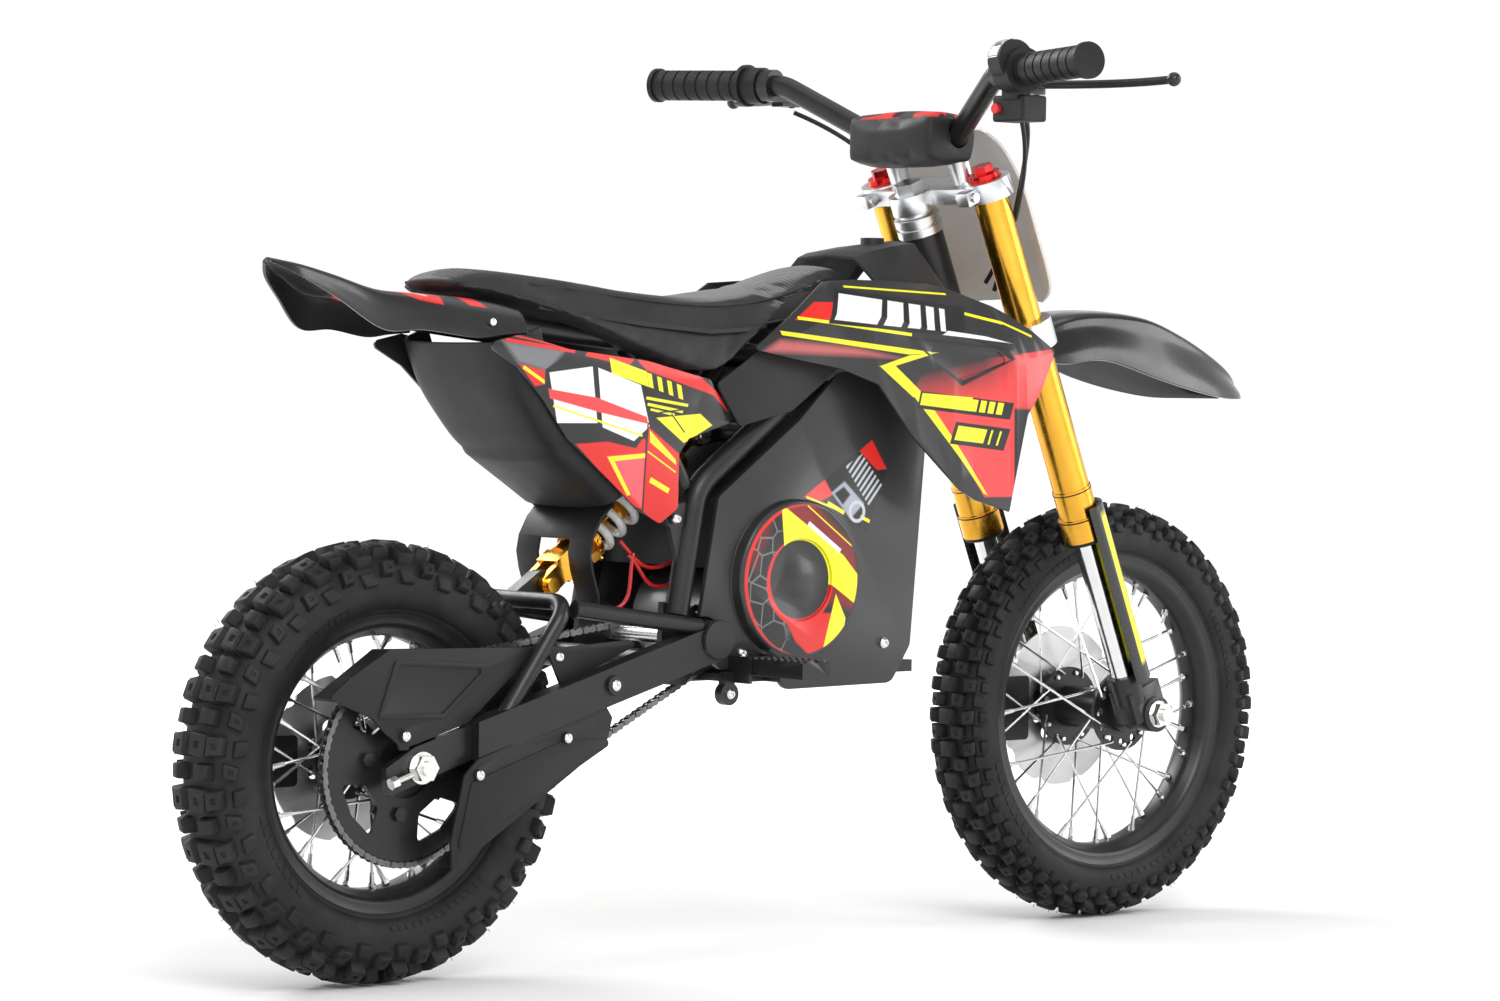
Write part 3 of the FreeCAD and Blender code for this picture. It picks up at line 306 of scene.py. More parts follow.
RED = (0.62, 0.018, 0.014)
PINK_RED = (0.78, 0.05, 0.05)
YELLOW = (0.86, 0.80, 0.02)
WHITE = (0.86, 0.86, 0.86)
INK = (0.012, 0.012, 0.013)
MOTOR_BADGE = (-41, 372)  # middle of the round badge, x and z in millimetres


def printed(name, base, layers, rough=0.3, outer_only=True):
    """Moulding with a printed film on its outer face: layers of (colour, mask maker) from the bottom up."""
    look = Look(name, base, coat=0.2, coat_rough=0.12, shine=0.4)
    plain = look.worn(base, 0.12, 10)
    color = plain
    for paint, mask in layers:
        color = look.mix(mask(look), color, paint)
    if outer_only:
        outward = look.math("MULTIPLY", look.math("SIGN", look.xyz()["Y"]), look.facing("Y"))
        color = look.mix(look.span(outward, 0.02, 0.10), plain, color)
    look.put("Base Color", color)
    look.uneven(rough - 0.06, rough + 0.1, 24)
    look.bump(look.noise(300, 3), 0.00005, 0.35)
    return look


def patch(*points, soft=0.5):
    """Mask of a convex outline."""
    return lambda look: look.inside(list(points), soft)


def disc(x, z, r):
    """Mask of a round area."""
    return lambda look: look.circle(x, z, r)


def both(first, second):
    """Mask where two masks meet."""
    return lambda look: look.math("MULTIPLY", first(look), second(look))


def less(first, second):
    """Mask of the first area without the second."""
    return lambda look: look.math("SUBTRACT", first(look), second(look))


def ramp(axis, low, high):
    """Mask that fades in along an axis, in metres."""
    return lambda look: look.span(look.xyz()[axis], low, high)


def band(x0, z0, x1, z1, width, soft=0.4):
    """Straight stripe between two points."""
    length = math.hypot(x1 - x0, z1 - z0)
    nx = -(z1 - z0) / length * width / 2
    nz = (x1 - x0) / length * width / 2
    return patch((x0 + nx, z0 + nz), (x1 + nx, z1 + nz), (x1 - nx, z1 - nz), (x0 - nx, z0 - nz), soft=soft)


def slats(x0, z0, x1, z1, height, lean, count, gap, soft=0.4):
    """A row of leaning blocks from one point to another, as one mask."""
    def mask(look):
        total = None
        for i in range(count):
            a = i / count
            b = (i + 1) / count - gap
            ax, az = x0 + (x1 - x0) * a, z0 + (z1 - z0) * a
            bx, bz = x0 + (x1 - x0) * b, z0 + (z1 - z0) * b
            corners = [(ax, az), (bx, bz), (bx + lean, bz + height), (ax + lean, az + height)]
            block = look.inside(corners, soft)
            total = block if total is None else look.math("MAXIMUM", total, block)
        return total
    return mask


def shroud_look():
    def lower_red(look):
        """Red that fades into black towards the top of the shroud."""
        area = look.math("MAXIMUM", look.inside([(84, 562), (205, 562), (205, 452), (166, 452)], 1.0),
                         look.inside([(84, 562), (100, 582), (243, 596), (243, 552), (205, 541)], 1.0))
        slope = look.math("SUBTRACT", look.xyz()["Z"], look.math("MULTIPLY", look.xyz()["X"], 0.20))
        return look.math("MULTIPLY", area, look.span(slope, 0.556, 0.512))
    front_edge = patch((168, 590), (262, 600), (262, 540), (196, 540), soft=1.0)
    return printed("shroud_print", (0.020, 0.020, 0.021), [
        (PINK_RED, lower_red),
        (PINK_RED, both(front_edge, ramp("X", 0.170, 0.236))),
        ((0.42, 0.10, 0.10), patch((-93, 594), (-73, 605), (20, 598), (60, 590), (-20, 592), soft=3)),
        (RED, patch((-50, 625), (-22, 643), (39, 643), (22, 626))),
        ((0.32, 0.05, 0.05), patch((42, 641), (120, 637), (112, 622), (30, 625), soft=4)),
        (YELLOW, band(20, 659, 150, 654, 1.8)),
        (YELLOW, band(-46, 627, 84, 612.5, 3.0)),
        (YELLOW, band(30, 643, 118, 637, 1.6)),
        (YELLOW, band(150, 637, 205, 626, 3.0)),
        (YELLOW, band(203, 627, 238, 613, 2.2)),
        (INK, patch((-14, 622), (146, 611), (166, 641), (6, 657))),
        (WHITE, patch((-6, 626), (44, 622), (62, 646.5), (10, 652))),
        (WHITE, patch((52, 621.5), (72, 620), (88, 644), (69, 646))),
        (WHITE, patch((80, 619.5), (94, 618.5), (109, 642), (95, 643.5))),
        (WHITE, patch((102, 618), (111, 617.3), (125, 640), (116, 641.5))),
        (WHITE, patch((119, 616.8), (125, 616.3), (138, 638.5), (132, 639.5))),
        (WHITE, patch((120, 613), (205, 606), (176, 612), (128, 617))),
        (YELLOW, patch((-70, 614), (-69, 610), (80, 593), (112, 595))),
        (YELLOW, patch((80, 592), (112, 595), (61, 581.5), (43, 581))),
        (YELLOW, patch((43, 581), (61, 582), (94, 553), (80, 551))),
        (YELLOW, patch((80, 553), (93, 554), (170, 454), (165, 456))),
        (INK, patch((84, 540), (200, 529), (205, 546), (90, 557))),
        (YELLOW, patch((88, 543.5), (150, 537.5), (153, 551), (92, 555))),
        (YELLOW, slats(157, 537, 200, 533, 11.5, 3.4, 4, 0.42)),
        (INK, patch((122, 505), (192, 498), (201, 520), (131, 527))),
        (YELLOW, patch((128, 509), (165, 505.5), (171, 519), (134, 523))),
        (YELLOW, slats(171, 504.5, 193, 502.5, 14, 5.6, 2, 0.4)),
        (INK, less(patch((78, 611), (190, 602), (207, 590), (140, 562), soft=0.6),
                   patch((86, 606.5), (186, 598.5), (200, 589), (141, 568), soft=0.6))),
    ])


def cover_look():
    """Battery cover with a printed round badge about MOTOR_BADGE and a strip above it."""
    x, z = MOTOR_BADGE

    def on_disc(mask):
        return both(mask, disc(x, z, 73))

    def swirls(look):
        cells = look.cells(46, "DISTANCE_TO_EDGE")
        line = look.span(cells, 0.045, 0.02)
        left = look.inside([(-118, 300), (-118, 440), (-70, 446), (-58, 372), (-60, 300)], 6)
        return look.math("MULTIPLY", look.math("MULTIPLY", line, left), 0.55)

    def fins(look):
        """Fine slanting lines."""
        across = look.math("ADD", look.math("MULTIPLY", look.xyz()["X"], 0.75),
                           look.math("MULTIPLY", look.xyz()["Z"], -0.66))
        return look.span(look.math("SINE", look.math("MULTIPLY", across, 1100)), -0.1, 0.3)
    return printed("cover_print", (0.019, 0.019, 0.020), [
        ((0.010, 0.010, 0.011), less(disc(x, z, 73.5), disc(x, z, 38))),
        ((0.20, 0.012, 0.012), on_disc(patch((-72, 446), (-30, 450), (30, 400), (36, 340), (-10, 350),
                                             (-60, 420), soft=5))),
        ((0.11, 0.012, 0.012), on_disc(patch((-120, 400), (-92, 440), (-78, 430), (-100, 380), soft=4))),
        ((0.25, 0.25, 0.26), on_disc(swirls)),
        (RED, on_disc(patch((-62, 334), (-36, 340), (2, 338), (-8, 306), (-30, 298), (-48, 312), soft=1.2))),
        (RED, on_disc(less(disc(-43, 370, 43), disc(-40, 373, 39)))),
        (RED, less(disc(x, z, 73.4), disc(-37, 371, 73.0))),
        (YELLOW, on_disc(patch((-68, 446), (13, 395), (34, 374), (34, 344), (-64, 405)))),
        (YELLOW, on_disc(patch((4, 357), (17, 333), (14, 316), (-13, 300)))),
        (YELLOW, on_disc(band(-34, 444, 24, 404, 1.2))),
        (WHITE, on_disc(band(-33, 427, 9, 399, 4.4))),
        ((0.020, 0.020, 0.021), disc(x, z, 38.5)),
        (INK, patch((-28, 452), (62, 508), (82, 479), (58, 417), (30, 427))),
        (RED, patch((45, 497), (62, 508), (82, 479), (69, 478))),
        (RED, patch((-28, 452), (0, 469), (11, 454), (-4, 448))),
        (YELLOW, band(-24, 452, 22, 438, 2.0)),
        (YELLOW, band(4, 446, 26, 436, 4.0)),
        (YELLOW, band(48, 432, 60, 427, 3.4)),
        ((0.45, 0.47, 0.50), both(patch((27, 482), (49, 494), (76, 463), (60, 441), soft=0.6), fins)),
        ((0.33, 0.36, 0.42), patch((9, 456), (26, 467), (52, 445), (34, 430), soft=1)),
        (INK, patch((13, 455), (25, 462), (34, 454), (24, 444), soft=1)),
        ((0.5, 0.52, 0.56), less(disc(43, 437, 11), disc(43, 437, 7.5))),
    ], rough=0.34)


def number_look():
    return printed("number_print", INK, [
        ((0.16, 0.16, 0.17), patch((-404, 600), (-330, 592), (-350, 572), (-384, 580), soft=3)),
        (RED, band(-401, 601, -318, 591, 3.4)),
        (RED, band(-398, 606, -330, 595, 1.6)),
        (RED, patch((-306, 587), (-295, 600), (-240, 590), (-252, 578))),
        (RED, patch((-250, 590), (-163, 569), (-130, 547), (-230, 574))),
        (YELLOW, patch((-272, 571), (-226, 558.5), (-230, 573), (-276, 585.5))),
        (YELLOW, slats(-220, 557, -170, 543, 13.5, -3.6, 4, 0.36)),
        (RED, patch((-152, 557), (-139, 552), (-119, 534), (-126, 535))),
        (RED, patch((-384, 579), (-349, 572), (-342, 562), (-363, 558))),
        (YELLOW, band(-378, 576, -350, 561, 3.0)),
        (RED, patch((-313, 504), (-226, 509), (-221, 441), (-240, 446), (-281, 480))),
        ((0.80, 0.10, 0.12), patch((-270, 492), (-226, 495), (-224, 442), (-240, 456), soft=2)),
        (INK, patch((-352, 574), (-330, 586), (-226, 557), (-216, 526), (-237, 500), (-335, 518),
                    (-352, 545))),
        (WHITE, patch((-347, 571), (-296, 577), (-286, 524), (-334, 524))),
        (WHITE, patch((-289, 576), (-236, 560), (-222, 521), (-240, 507), (-279, 520))),
        (PINK_RED, patch((-347, 556), (-288, 548), (-226, 530), (-223, 521), (-284, 534), (-344, 545))),
        (YELLOW, band(-340, 540, -230, 512, 2.0)),
        (YELLOW, band(-228, 548, -176, 541, 2.6)),
        (YELLOW, band(-226, 542, -182, 535, 2.6)),
        (YELLOW, band(-222, 537, -192, 532, 2.0)),
        (YELLOW, patch((-214, 529), (-160, 533), (-144, 522), (-178, 505))),
        (INK, band(-196, 533, -178, 515, 1.6)),
        (YELLOW, patch((-271, 492), (-225, 495), (-225, 491), (-262, 488))),
        (YELLOW, patch((-271, 492), (-264, 490), (-240, 456), (-244, 455))),
        (RED, patch((-224, 521), (-182, 494), (-180, 441), (-203, 427), (-224, 440))),
        (YELLOW, patch((-221, 517), (-187, 489), (-186, 484), (-220, 506))),
        (YELLOW, band(-222, 497, -186, 477, 1.2)),
        (YELLOW, band(-217, 470, -193, 459, 5.0)),
        (INK, band(-224, 523, -224, 438, 2.0)),
        (INK, band(-224, 523, -210, 534, 2.0)),
        (INK, band(-211, 534, -161, 539, 1.6)),
    ])


def tail_look():
    return printed("tail_print", INK, [
        (RED, patch((-548, 660), (-536, 660), (-456, 640), (-456, 632), (-480, 636))),
        (RED, patch((-444, 646), (-426, 646), (-410, 630), (-428, 632))),
        (WHITE, band(-520, 652, -470, 640, 0.9)),
    ], outer_only=False)


def guard_look():
    """Black guard with a yellow stripe down its front edge, placed along the steering axis."""
    look = Look("guard_print", INK, coat=0.25, coat_rough=0.12)
    ahead = look.make("ShaderNodeVectorMath", operation="DOT_PRODUCT")
    look.join(ahead.inputs[0], look.place)
    ahead.inputs[1].default_value = FORWARD
    height = look.make("ShaderNodeVectorMath", operation="DOT_PRODUCT")
    look.join(height.inputs[0], look.place)
    height.inputs[1].default_value = STEER_AXIS
    fore = look.math("SUBTRACT", ahead.outputs["Value"], FORWARD.dot(STEER_POS) + 0.036)
    out = look.math("SUBTRACT", look.math("ABSOLUTE", look.xyz()["Y"]), 0.076)
    across = look.math("MULTIPLY_ADD", out, 0.652, look.math("MULTIPLY", fore, 0.758))
    along = look.math("SUBTRACT", height.outputs["Value"], STEER_AXIS.dot(STEER_POS))
    front = look.span(across, 0.0215, 0.0222)
    low = look.math("MULTIPLY", look.span(along, -0.372, -0.366), look.span(along, -0.196, -0.206))
    stripe = look.math("MULTIPLY", front, low)
    dark = look.worn((0.008, 0.008, 0.009), 0.12, 11)
    look.put("Base Color", look.mix(stripe, dark, YELLOW))
    look.uneven(0.2, 0.36, 26)
    look.bump(look.noise(260, 3), 0.00006, 0.35)
    return look


def pad_look():
    look = vinyl("pad_vinyl", (0.010, 0.010, 0.011))
    top = look.span(look.xyz()["Z"], 0.8325, 0.8345)
    art = look.math("MULTIPLY", top, look.span(look.noise(30, 2), 0.47, 0.49))
    color = look.mix(art, look.worn((0.011, 0.011, 0.012), 0.14, 16), RED)
    look.put("Base Color", color)
    return look


def tyre_look():
    look = Look("tyre_rubber", (0.02, 0.02, 0.02), ior=1.45, shine=0.34)
    dusty = look.span(look.noise(16, 6, 0.7), 0.42, 0.8)
    look.put("Base Color", look.mix(dusty, (0.008, 0.008, 0.009), (0.024, 0.024, 0.025)))
    look.uneven(0.48, 0.72, 28)
    look.bump(look.noise(500, 5, 0.7), 0.0002, 0.5)
    return look


def light_look():
    look = Look("display_glass", (0.02, 0.05, 0.06), coat=1.0, coat_rough=0.02)
    bars = look.span(look.math("SINE", look.math("MULTIPLY", look.xyz()["Y"], 1400)), 0.2, 0.5)
    look.put("Base Color", look.mix(bars, (0.010, 0.014, 0.016), (0.05, 0.09, 0.10)))
    look.uneven(0.08, 0.16, 40)
    return look


LOOKS = {
    "frame_paint": coated_metal("frame_paint", (0.009, 0.009, 0.010)),
    "black_paint": coated_metal("black_paint", (0.009, 0.009, 0.010), 0.34),
    "spring_paint": coated_metal("spring_paint", (0.80, 0.80, 0.79), 0.26),
    "case_plastic": grained_plastic("case_plastic", (0.014, 0.014, 0.015)),
    "cover_plastic": cover_look(),
    "graphic_plastic": shroud_look(),
    "number": number_look(),
    "tail": tail_look(),
    "fender_plastic": gloss_plastic("fender_plastic", (0.008, 0.008, 0.009)),
    "guard": guard_look(),
    "plate_plastic": grained_plastic("plate_plastic", (0.62, 0.61, 0.59), 0.42),
    "red_plastic": gloss_plastic("red_plastic", (0.66, 0.02, 0.02)),
    "cell_wrap": gloss_plastic("cell_wrap", (0.05, 0.13, 0.36)),
    "seat_vinyl": vinyl("seat_vinyl", (0.013, 0.013, 0.014), rib_from=-0.16),
    "tank_vinyl": vinyl("tank_vinyl", (0.011, 0.011, 0.012)),
    "pad_vinyl": pad_look(),
    "grip_rubber": rubber("grip_rubber", (0.008, 0.008, 0.009), 0.5, 600, dust=0.02),
    "flap_rubber": rubber("flap_rubber", (0.008, 0.008, 0.009), 0.45, 240, dust=0.01),
    "cable_rubber": rubber("cable_rubber", (0.012, 0.012, 0.013), 0.4, 800, 0.0001, 0.01),
    "tyre": tyre_look(),
    "silver_alloy": metal("silver_alloy", (0.72, 0.73, 0.74), 0.30, 900),
    "motor_alloy": metal("motor_alloy", (0.55, 0.55, 0.56), 0.4),
    "gold_alloy": metal("gold_alloy", (0.84, 0.43, 0.05), 0.22, 400, 0.00002),
    "red_alloy": metal("red_alloy", (0.70, 0.03, 0.03), 0.24, 900),
    "zinc_steel": metal("zinc_steel", (0.74, 0.74, 0.72), 0.24, 500),
    "spoke_steel": metal("spoke_steel", (0.82, 0.82, 0.83), 0.18, 400),
    "disc_steel": brushed("disc_steel", (0.66, 0.66, 0.67), 0.32, (700, 60, 700)),
    "sprocket_steel": brushed("sprocket_steel", (0.42, 0.42, 0.43)),
    "chain_steel": metal("chain_steel", (0.17, 0.17, 0.175), 0.30, 500, 0.0001, 0.2),
    "hard_chrome": metal("hard_chrome", (0.86, 0.86, 0.87), 0.10, 300, 0.00002),
    "wire_red": gloss_plastic("wire_red", (0.60, 0.015, 0.015)),
    "display": light_look(),
}


# ------------------------------------------------------------ mesh helpers
def linked(name, data):
    """New object in the scene."""
    obj = bpy.data.objects.new(name, data)
    bpy.context.scene.collection.objects.link(obj)
    return obj


def smooth(obj, angle=35.0):
    for polygon in obj.data.polygons:
        polygon.use_smooth = True
    obj.data.set_sharp_from_angle(angle=math.radians(angle))


def piece(name, verts, faces, look, body, stands_for=(), angle=35.0):
    """New mesh piece that rides on a body."""
    data = bpy.data.meshes.new(name)
    data.from_pydata([tuple(v) for v in verts], [], [tuple(f) for f in faces])
    data.validate()
    data.update()
    obj = linked(name, data)
    finish(obj, look, body, stands_for)
    smooth(obj, angle)
    return obj


def finish(obj, look, body, stands_for=()):
    obj.data.materials.clear()
    obj.data.materials.append(LOOKS[look].mat)
    if body:
        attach(obj, body)
    if stands_for:
        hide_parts(*stands_for)
    return obj


def recalc(obj, angle=None):
    """Join doubled points and turn every face outward; with an angle, shade it smooth up to that angle."""
    bm = bmesh.new()
    bm.from_mesh(obj.data)
    bmesh.ops.remove_doubles(bm, verts=bm.verts, dist=1e-6)
    bmesh.ops.recalc_face_normals(bm, faces=bm.faces)
    bm.to_mesh(obj.data)
    bm.free()
    if angle:
        smooth(obj, angle)


def plain_mesh(data, flatten=False):
    """Join the doubled points of a CAD mesh and drop its stored normals; flatten clears its level edges."""
    bm = bmesh.new()
    bm.from_mesh(data)
    bmesh.ops.remove_doubles(bm, verts=bm.verts, dist=2e-6)
    if flatten:
        bmesh.ops.dissolve_limit(bm, angle_limit=math.radians(1.0), verts=bm.verts, edges=bm.edges)
    bm.to_mesh(data)
    bm.free()
    if data.has_custom_normals:
        data.normals_split_custom_set([(0, 0, 0)] * len(data.loops))


def apply_modifiers(obj):
    graph = bpy.context.evaluated_depsgraph_get()
    made = bpy.data.meshes.new_from_object(obj.evaluated_get(graph))
    old = obj.data
    obj.modifiers.clear()
    obj.data = made
    bpy.data.meshes.remove(old)


def bevelled(obj, width, segments=2, angle=32.0):
    """Round the edges of a piece."""
    mod = obj.modifiers.new("bevel", "BEVEL")
    mod.width = width
    mod.segments = segments
    mod.limit_method = "ANGLE"
    mod.angle_limit = math.radians(angle)
    mod.use_clamp_overlap = True
    apply_modifiers(obj)
    smooth(obj, 40)


def rounded_copy(node, look, width, segments=2):
    """A piece with the CAD node's shape and softened edges, shown in its place."""
    obj = linked(node + "_shell", NODES[node].data.copy())
    plain_mesh(obj.data, flatten=True)
    finish(obj, look, BODY[node], (node,))
    bevelled(obj, width, segments)
    return obj


def grid_faces(rows, cols, closed=True, wrap=False):
    """Faces between rows of points; closed joins each row's ends, wrap joins the last row to the first."""
    faces = []
    for i in range(rows if wrap else rows - 1):
        for j in range(cols if closed else cols - 1):
            a = i * cols + j
            b = i * cols + (j + 1) % cols
            c = ((i + 1) % rows) * cols + (j + 1) % cols
            d = ((i + 1) % rows) * cols + j
            faces.append((a, b, c, d))
    return faces


def turned(profile, centre, axis, steps, closed=False):
    """Surface of revolution of (along, radius) points in millimetres about an axis through centre."""
    axis = Vector(axis).normalized()
    side = Vector((1, 0, 0)) if abs(axis.x) < 0.7 else Vector((0, 0, 1))
    side = (side - axis * side.dot(axis)).normalized()
    up = axis.cross(side)
    verts = []
    for i in range(steps):
        a = 2 * math.pi * i / steps
        out = side * math.cos(a) + up * math.sin(a)
        verts += [centre + axis * (s * MM) + out * (r * MM) for s, r in profile]
    faces = grid_faces(steps, len(profile), closed=closed, wrap=True)
    return verts, faces


class Heap:
    """Collects many small solids into one mesh."""

    def __init__(self):
        self.verts = []
        self.faces = []

    def add(self, verts, faces):
        start = len(self.verts)
        self.verts += [Vector(v) for v in verts]
        self.faces += [tuple(start + i for i in face) for face in faces]

    def stick(self, a, b, ra, rb=None, sides=8):
        """Closed round bar from a to b."""
        rb = ra if rb is None else rb
        axis = (b - a).normalized()
        side = axis.orthogonal().normalized()
        up = axis.cross(side)
        turns = [2 * math.pi * i / sides for i in range(sides)]
        ring = [side * math.cos(t) + up * math.sin(t) for t in turns]
        verts = [a + v * ra for v in ring] + [b + v * rb for v in ring]
        faces = [(i, (i + 1) % sides, sides + (i + 1) % sides, sides + i) for i in range(sides)]
        faces += [tuple(range(sides))[::-1], tuple(range(sides, 2 * sides))]
        self.add(verts, faces)

    def make(self, name, look, body, slot, stands_for=(), angle=35.0):
        return piece(name, self.verts, self.faces, look, body, stands_for, angle)


def curve(name, points, radius, look, body, stands_for=()):
    """Smooth round cord along a NURBS route."""
    data = bpy.data.curves.new(name, "CURVE")
    data.dimensions = "3D"
    data.bevel_depth = radius
    data.bevel_resolution = 3
    data.resolution_u = 12
    data.use_fill_caps = True
    spline = data.splines.new("NURBS")
    spline.points.add(len(points) - 1)
    for point, place in zip(spline.points, points):
        point.co = (*place, 1)
    spline.order_u = 4
    spline.use_endpoint_u = True
    obj = linked(name, data)
    graph = bpy.context.evaluated_depsgraph_get()
    made = bpy.data.meshes.new_from_object(obj.evaluated_get(graph))
    bpy.data.objects.remove(obj)
    solid = linked(name, made)
    finish(solid, look, body, stands_for)
    smooth(solid, 50)
    return solid


# ------------------------------------------------------------ tyres
def tyre_section(r, half, rim_r, rim_half, turn, lift=0.0):
    """Point and outward normal of the casing at an angle from the crown, in millimetres as (y, radius)."""
    square_side, square_crown = 0.86, 0.80  # 1 is an oval section, less is squarer
    mid = (r + rim_r) / 2 - 3
    tall = r - mid
    s, c = math.sin(turn), math.cos(turn)
    y = half * math.copysign(abs(s) ** square_side, s)
    q = mid + tall * math.copysign(abs(c) ** square_crown, c)
    normal = Vector((s / half, c / tall)).normalized()
    return y + normal.x * lift, q + normal.y * lift, normal


def on_wheel(axle, turn, y, q):
    """Point at an angle round a wheel, y along its axle and q out from it, in millimetres."""
    return axle + Vector((q * MM * math.cos(turn), y * MM, q * MM * math.sin(turn)))


def knob(heap, axle, casing, spot, size, lean, height, limit, pit=0.0):
    """Tread block: spot is (angle round the wheel, angle from the crown); size is its length and width."""
    around, turn = spot
    length, width = size
    y0, q0, n = tyre_section(*casing, turn)
    tangent = Vector((n.y, -n.x))
    rows = []
    for lift, shrink in ((-2.0, 1.18), (height - 0.8, 1.0), (height, 0.86)):
        row = []
        for sx, sy in ((-1, -1), (1, -1), (1, 1), (-1, 1)):
            y = y0 + n.x * lift + tangent.x * sy * width / 2 * shrink
            q = min(q0 + n.y * lift + tangent.y * sy * width / 2 * shrink, limit)
            slant = lean * sy * width / 2
            row.append(on_wheel(axle, around + (sx * length / 2 * shrink + slant) / q0, y, q))
        rows.append(row)
    verts = rows[0] + rows[1] + rows[2]
    faces = []
    for level in (0, 4):
        for i in range(4):
            j = (i + 1) % 4
            faces.append((level + i, level + j, level + 4 + j, level + 4 + i))
    faces.append((0, 3, 2, 1))
    if pit:
        centre = sum(rows[2], Vector()) / 4
        out = (centre - on_wheel(axle, around, y0, q0)).normalized()
        rim = [centre + (p - centre) * 0.36 for p in rows[2]]
        low = [p - out * (pit * MM) for p in rim]
        verts += rim + low
        for i in range(4):
            j = (i + 1) % 4
            faces.append((8 + i, 8 + j, 12 + j, 12 + i))
            faces.append((12 + i, 12 + j, 16 + j, 16 + i))
        faces.append((16, 17, 18, 19))
    else:
        faces.append((8, 9, 10, 11))
    heap.add(verts, faces)


def tyre_relief(axle, casing, r):
    """Rows of small raised blocks on both side walls."""
    rim_r = casing[2]
    runs = [  # lower and upper edge out from the rim, first and last angle round the wheel, blocks
        (9, 14, 0.10, 0.62, 11), (9, 14, 1.9, 2.5, 12), (8, 16, 3.4, 4.0, 8), (10, 15, 4.7, 5.5, 14)]

    def on_side(q, lift):
        """The side wall's point at radius q, raised by lift."""
        turn = math.pi / 2
        for _ in range(12):
            turn += (tyre_section(*casing, turn)[1] - q) / (r * 0.35)
        return tyre_section(*casing, turn, lift)

    relief = Heap()
    for side in (-1, 1):
        for low, high, first, last, count in runs:
            for k in range(count):
                a0 = first + (last - first) * k / count
                a1 = a0 + (last - first) / count * 0.62
                corners = []
                for lift in (-0.6, 0.7):
                    for edge, a in ((low, a0), (low, a1), (high, a1 + 0.01), (high, a0 + 0.01)):
                        y, q, _ = on_side(rim_r + edge, lift)
                        corners.append(on_wheel(axle, a, y * side, q))
                relief.add(corners, [(0, 3, 2, 1), (4, 5, 6, 7), (0, 1, 5, 4), (1, 2, 6, 5), (2, 3, 7, 6),
                                     (3, 0, 4, 7)])
    return relief


def build_tyre(which, axle, half, rim_r, rim_half, count, knob_h, rows, draw):
    """Casing, tread blocks, moulded side relief and the fine vent hairs of a knobby tyre."""
    r = TYRE_R[which] / MM
    casing = (r - knob_h, half - 3.0, rim_r, rim_half)
    start = math.radians(128)
    steps = 30
    section = [tyre_section(*casing, -start + 2 * start * i / steps)[:2] for i in range(steps + 1)]
    bead = rim_half - 3.4
    foot = [(bead, rim_r + 1.2), (bead, rim_r - 8)]
    profile = [(-y, q) for y, q in reversed(foot)] + [(y, q) for y, q in section if q > rim_r + 1.5] + foot
    inner = [(y * 0.86, max(rim_r - 8, q - 6)) for y, q in reversed(profile[1:-1])]
    verts, faces = turned(profile + inner, axle, (0, 1, 0), 120, closed=True)
    body = which + "_wheel"
    node = which + "_tyre"
    recalc(piece(node + "_casing", verts, faces, "tyre", body, (node,), 50), 50)

    tread = Heap()
    for i in range(count):
        for turn_deg, length, width, lean, phase, high, pit in rows:
            for side in ((-1, 1) if turn_deg else (1,)):
                around = 2 * math.pi * (i + phase * (1 if side > 0 else 0.96)) / count
                knob(tread, axle, casing, (around, math.radians(turn_deg) * side), (length, width),
                     lean * side, high, r, pit)
    knobs = tread.make(node + "_knobs", "tyre", body, "tyre", (node,), 30)
    recalc(knobs)
    bevelled(knobs, 0.0007, 1, 40)

    hairs = Heap()
    for i in range(count * 3):
        around = 2 * math.pi * draw.random()
        side = draw.choice((-1, 1))
        turn = math.radians(draw.choice((14, 38, 60)) + draw.uniform(-4, 4)) * side
        y, q, n = tyre_section(*casing, turn, knob_h - 1.0)
        q = min(q, r - 0.5)
        a = on_wheel(axle, around, y, q)
        tip = on_wheel(axle, around + draw.uniform(-0.004, 0.004), y + n.x * 3.6, q + n.y * 3.6)
        hairs.stick(a, tip, 0.00035, 0.0002, 4)
    hairs.make(node + "_hairs", "tyre", body, "tyre", (node,))
    recalc(tyre_relief(axle, casing, r).make(node + "_relief", "tyre", body, "tyre", (node,), 30), 30)


DRAW = random.Random(11)
REAR_ROWS = [  # angle from the crown, length, width, lean, phase, height, pit
    (15, 19, 19, 0.10, 0.0, 11.0, 2.0), (39, 16, 15, -0.12, 0.0, 10.5, 2.0),
    (22, 13, 15, 0.0, 0.5, 10.0, 0.0), (64, 12, 13, 0.25, 0.5, 7.0, 1.4), (78, 13, 12, -0.2, 0.0, 4.6, 0.0)]
FRONT_ROWS = [
    (0, 15, 15, 0.0, 0.0, 10.0, 0.0), (21, 12, 11, 0.10, 0.5, 10.0, 1.4),
    (41, 13, 11, -0.10, 0.0, 9.6, 1.4), (61, 11, 10, 0.20, 0.5, 7.5, 0.0), (75, 10, 9, 0.0, 0.0, 4.0, 0.0)]
build_tyre("rear", REAR_AXLE, 42, 140, 28, 25, 11.0, REAR_ROWS, DRAW)
build_tyre("front", FRONT_AXLE, 35, 165.5, 24.4, 40, 10.0, FRONT_ROWS, DRAW)


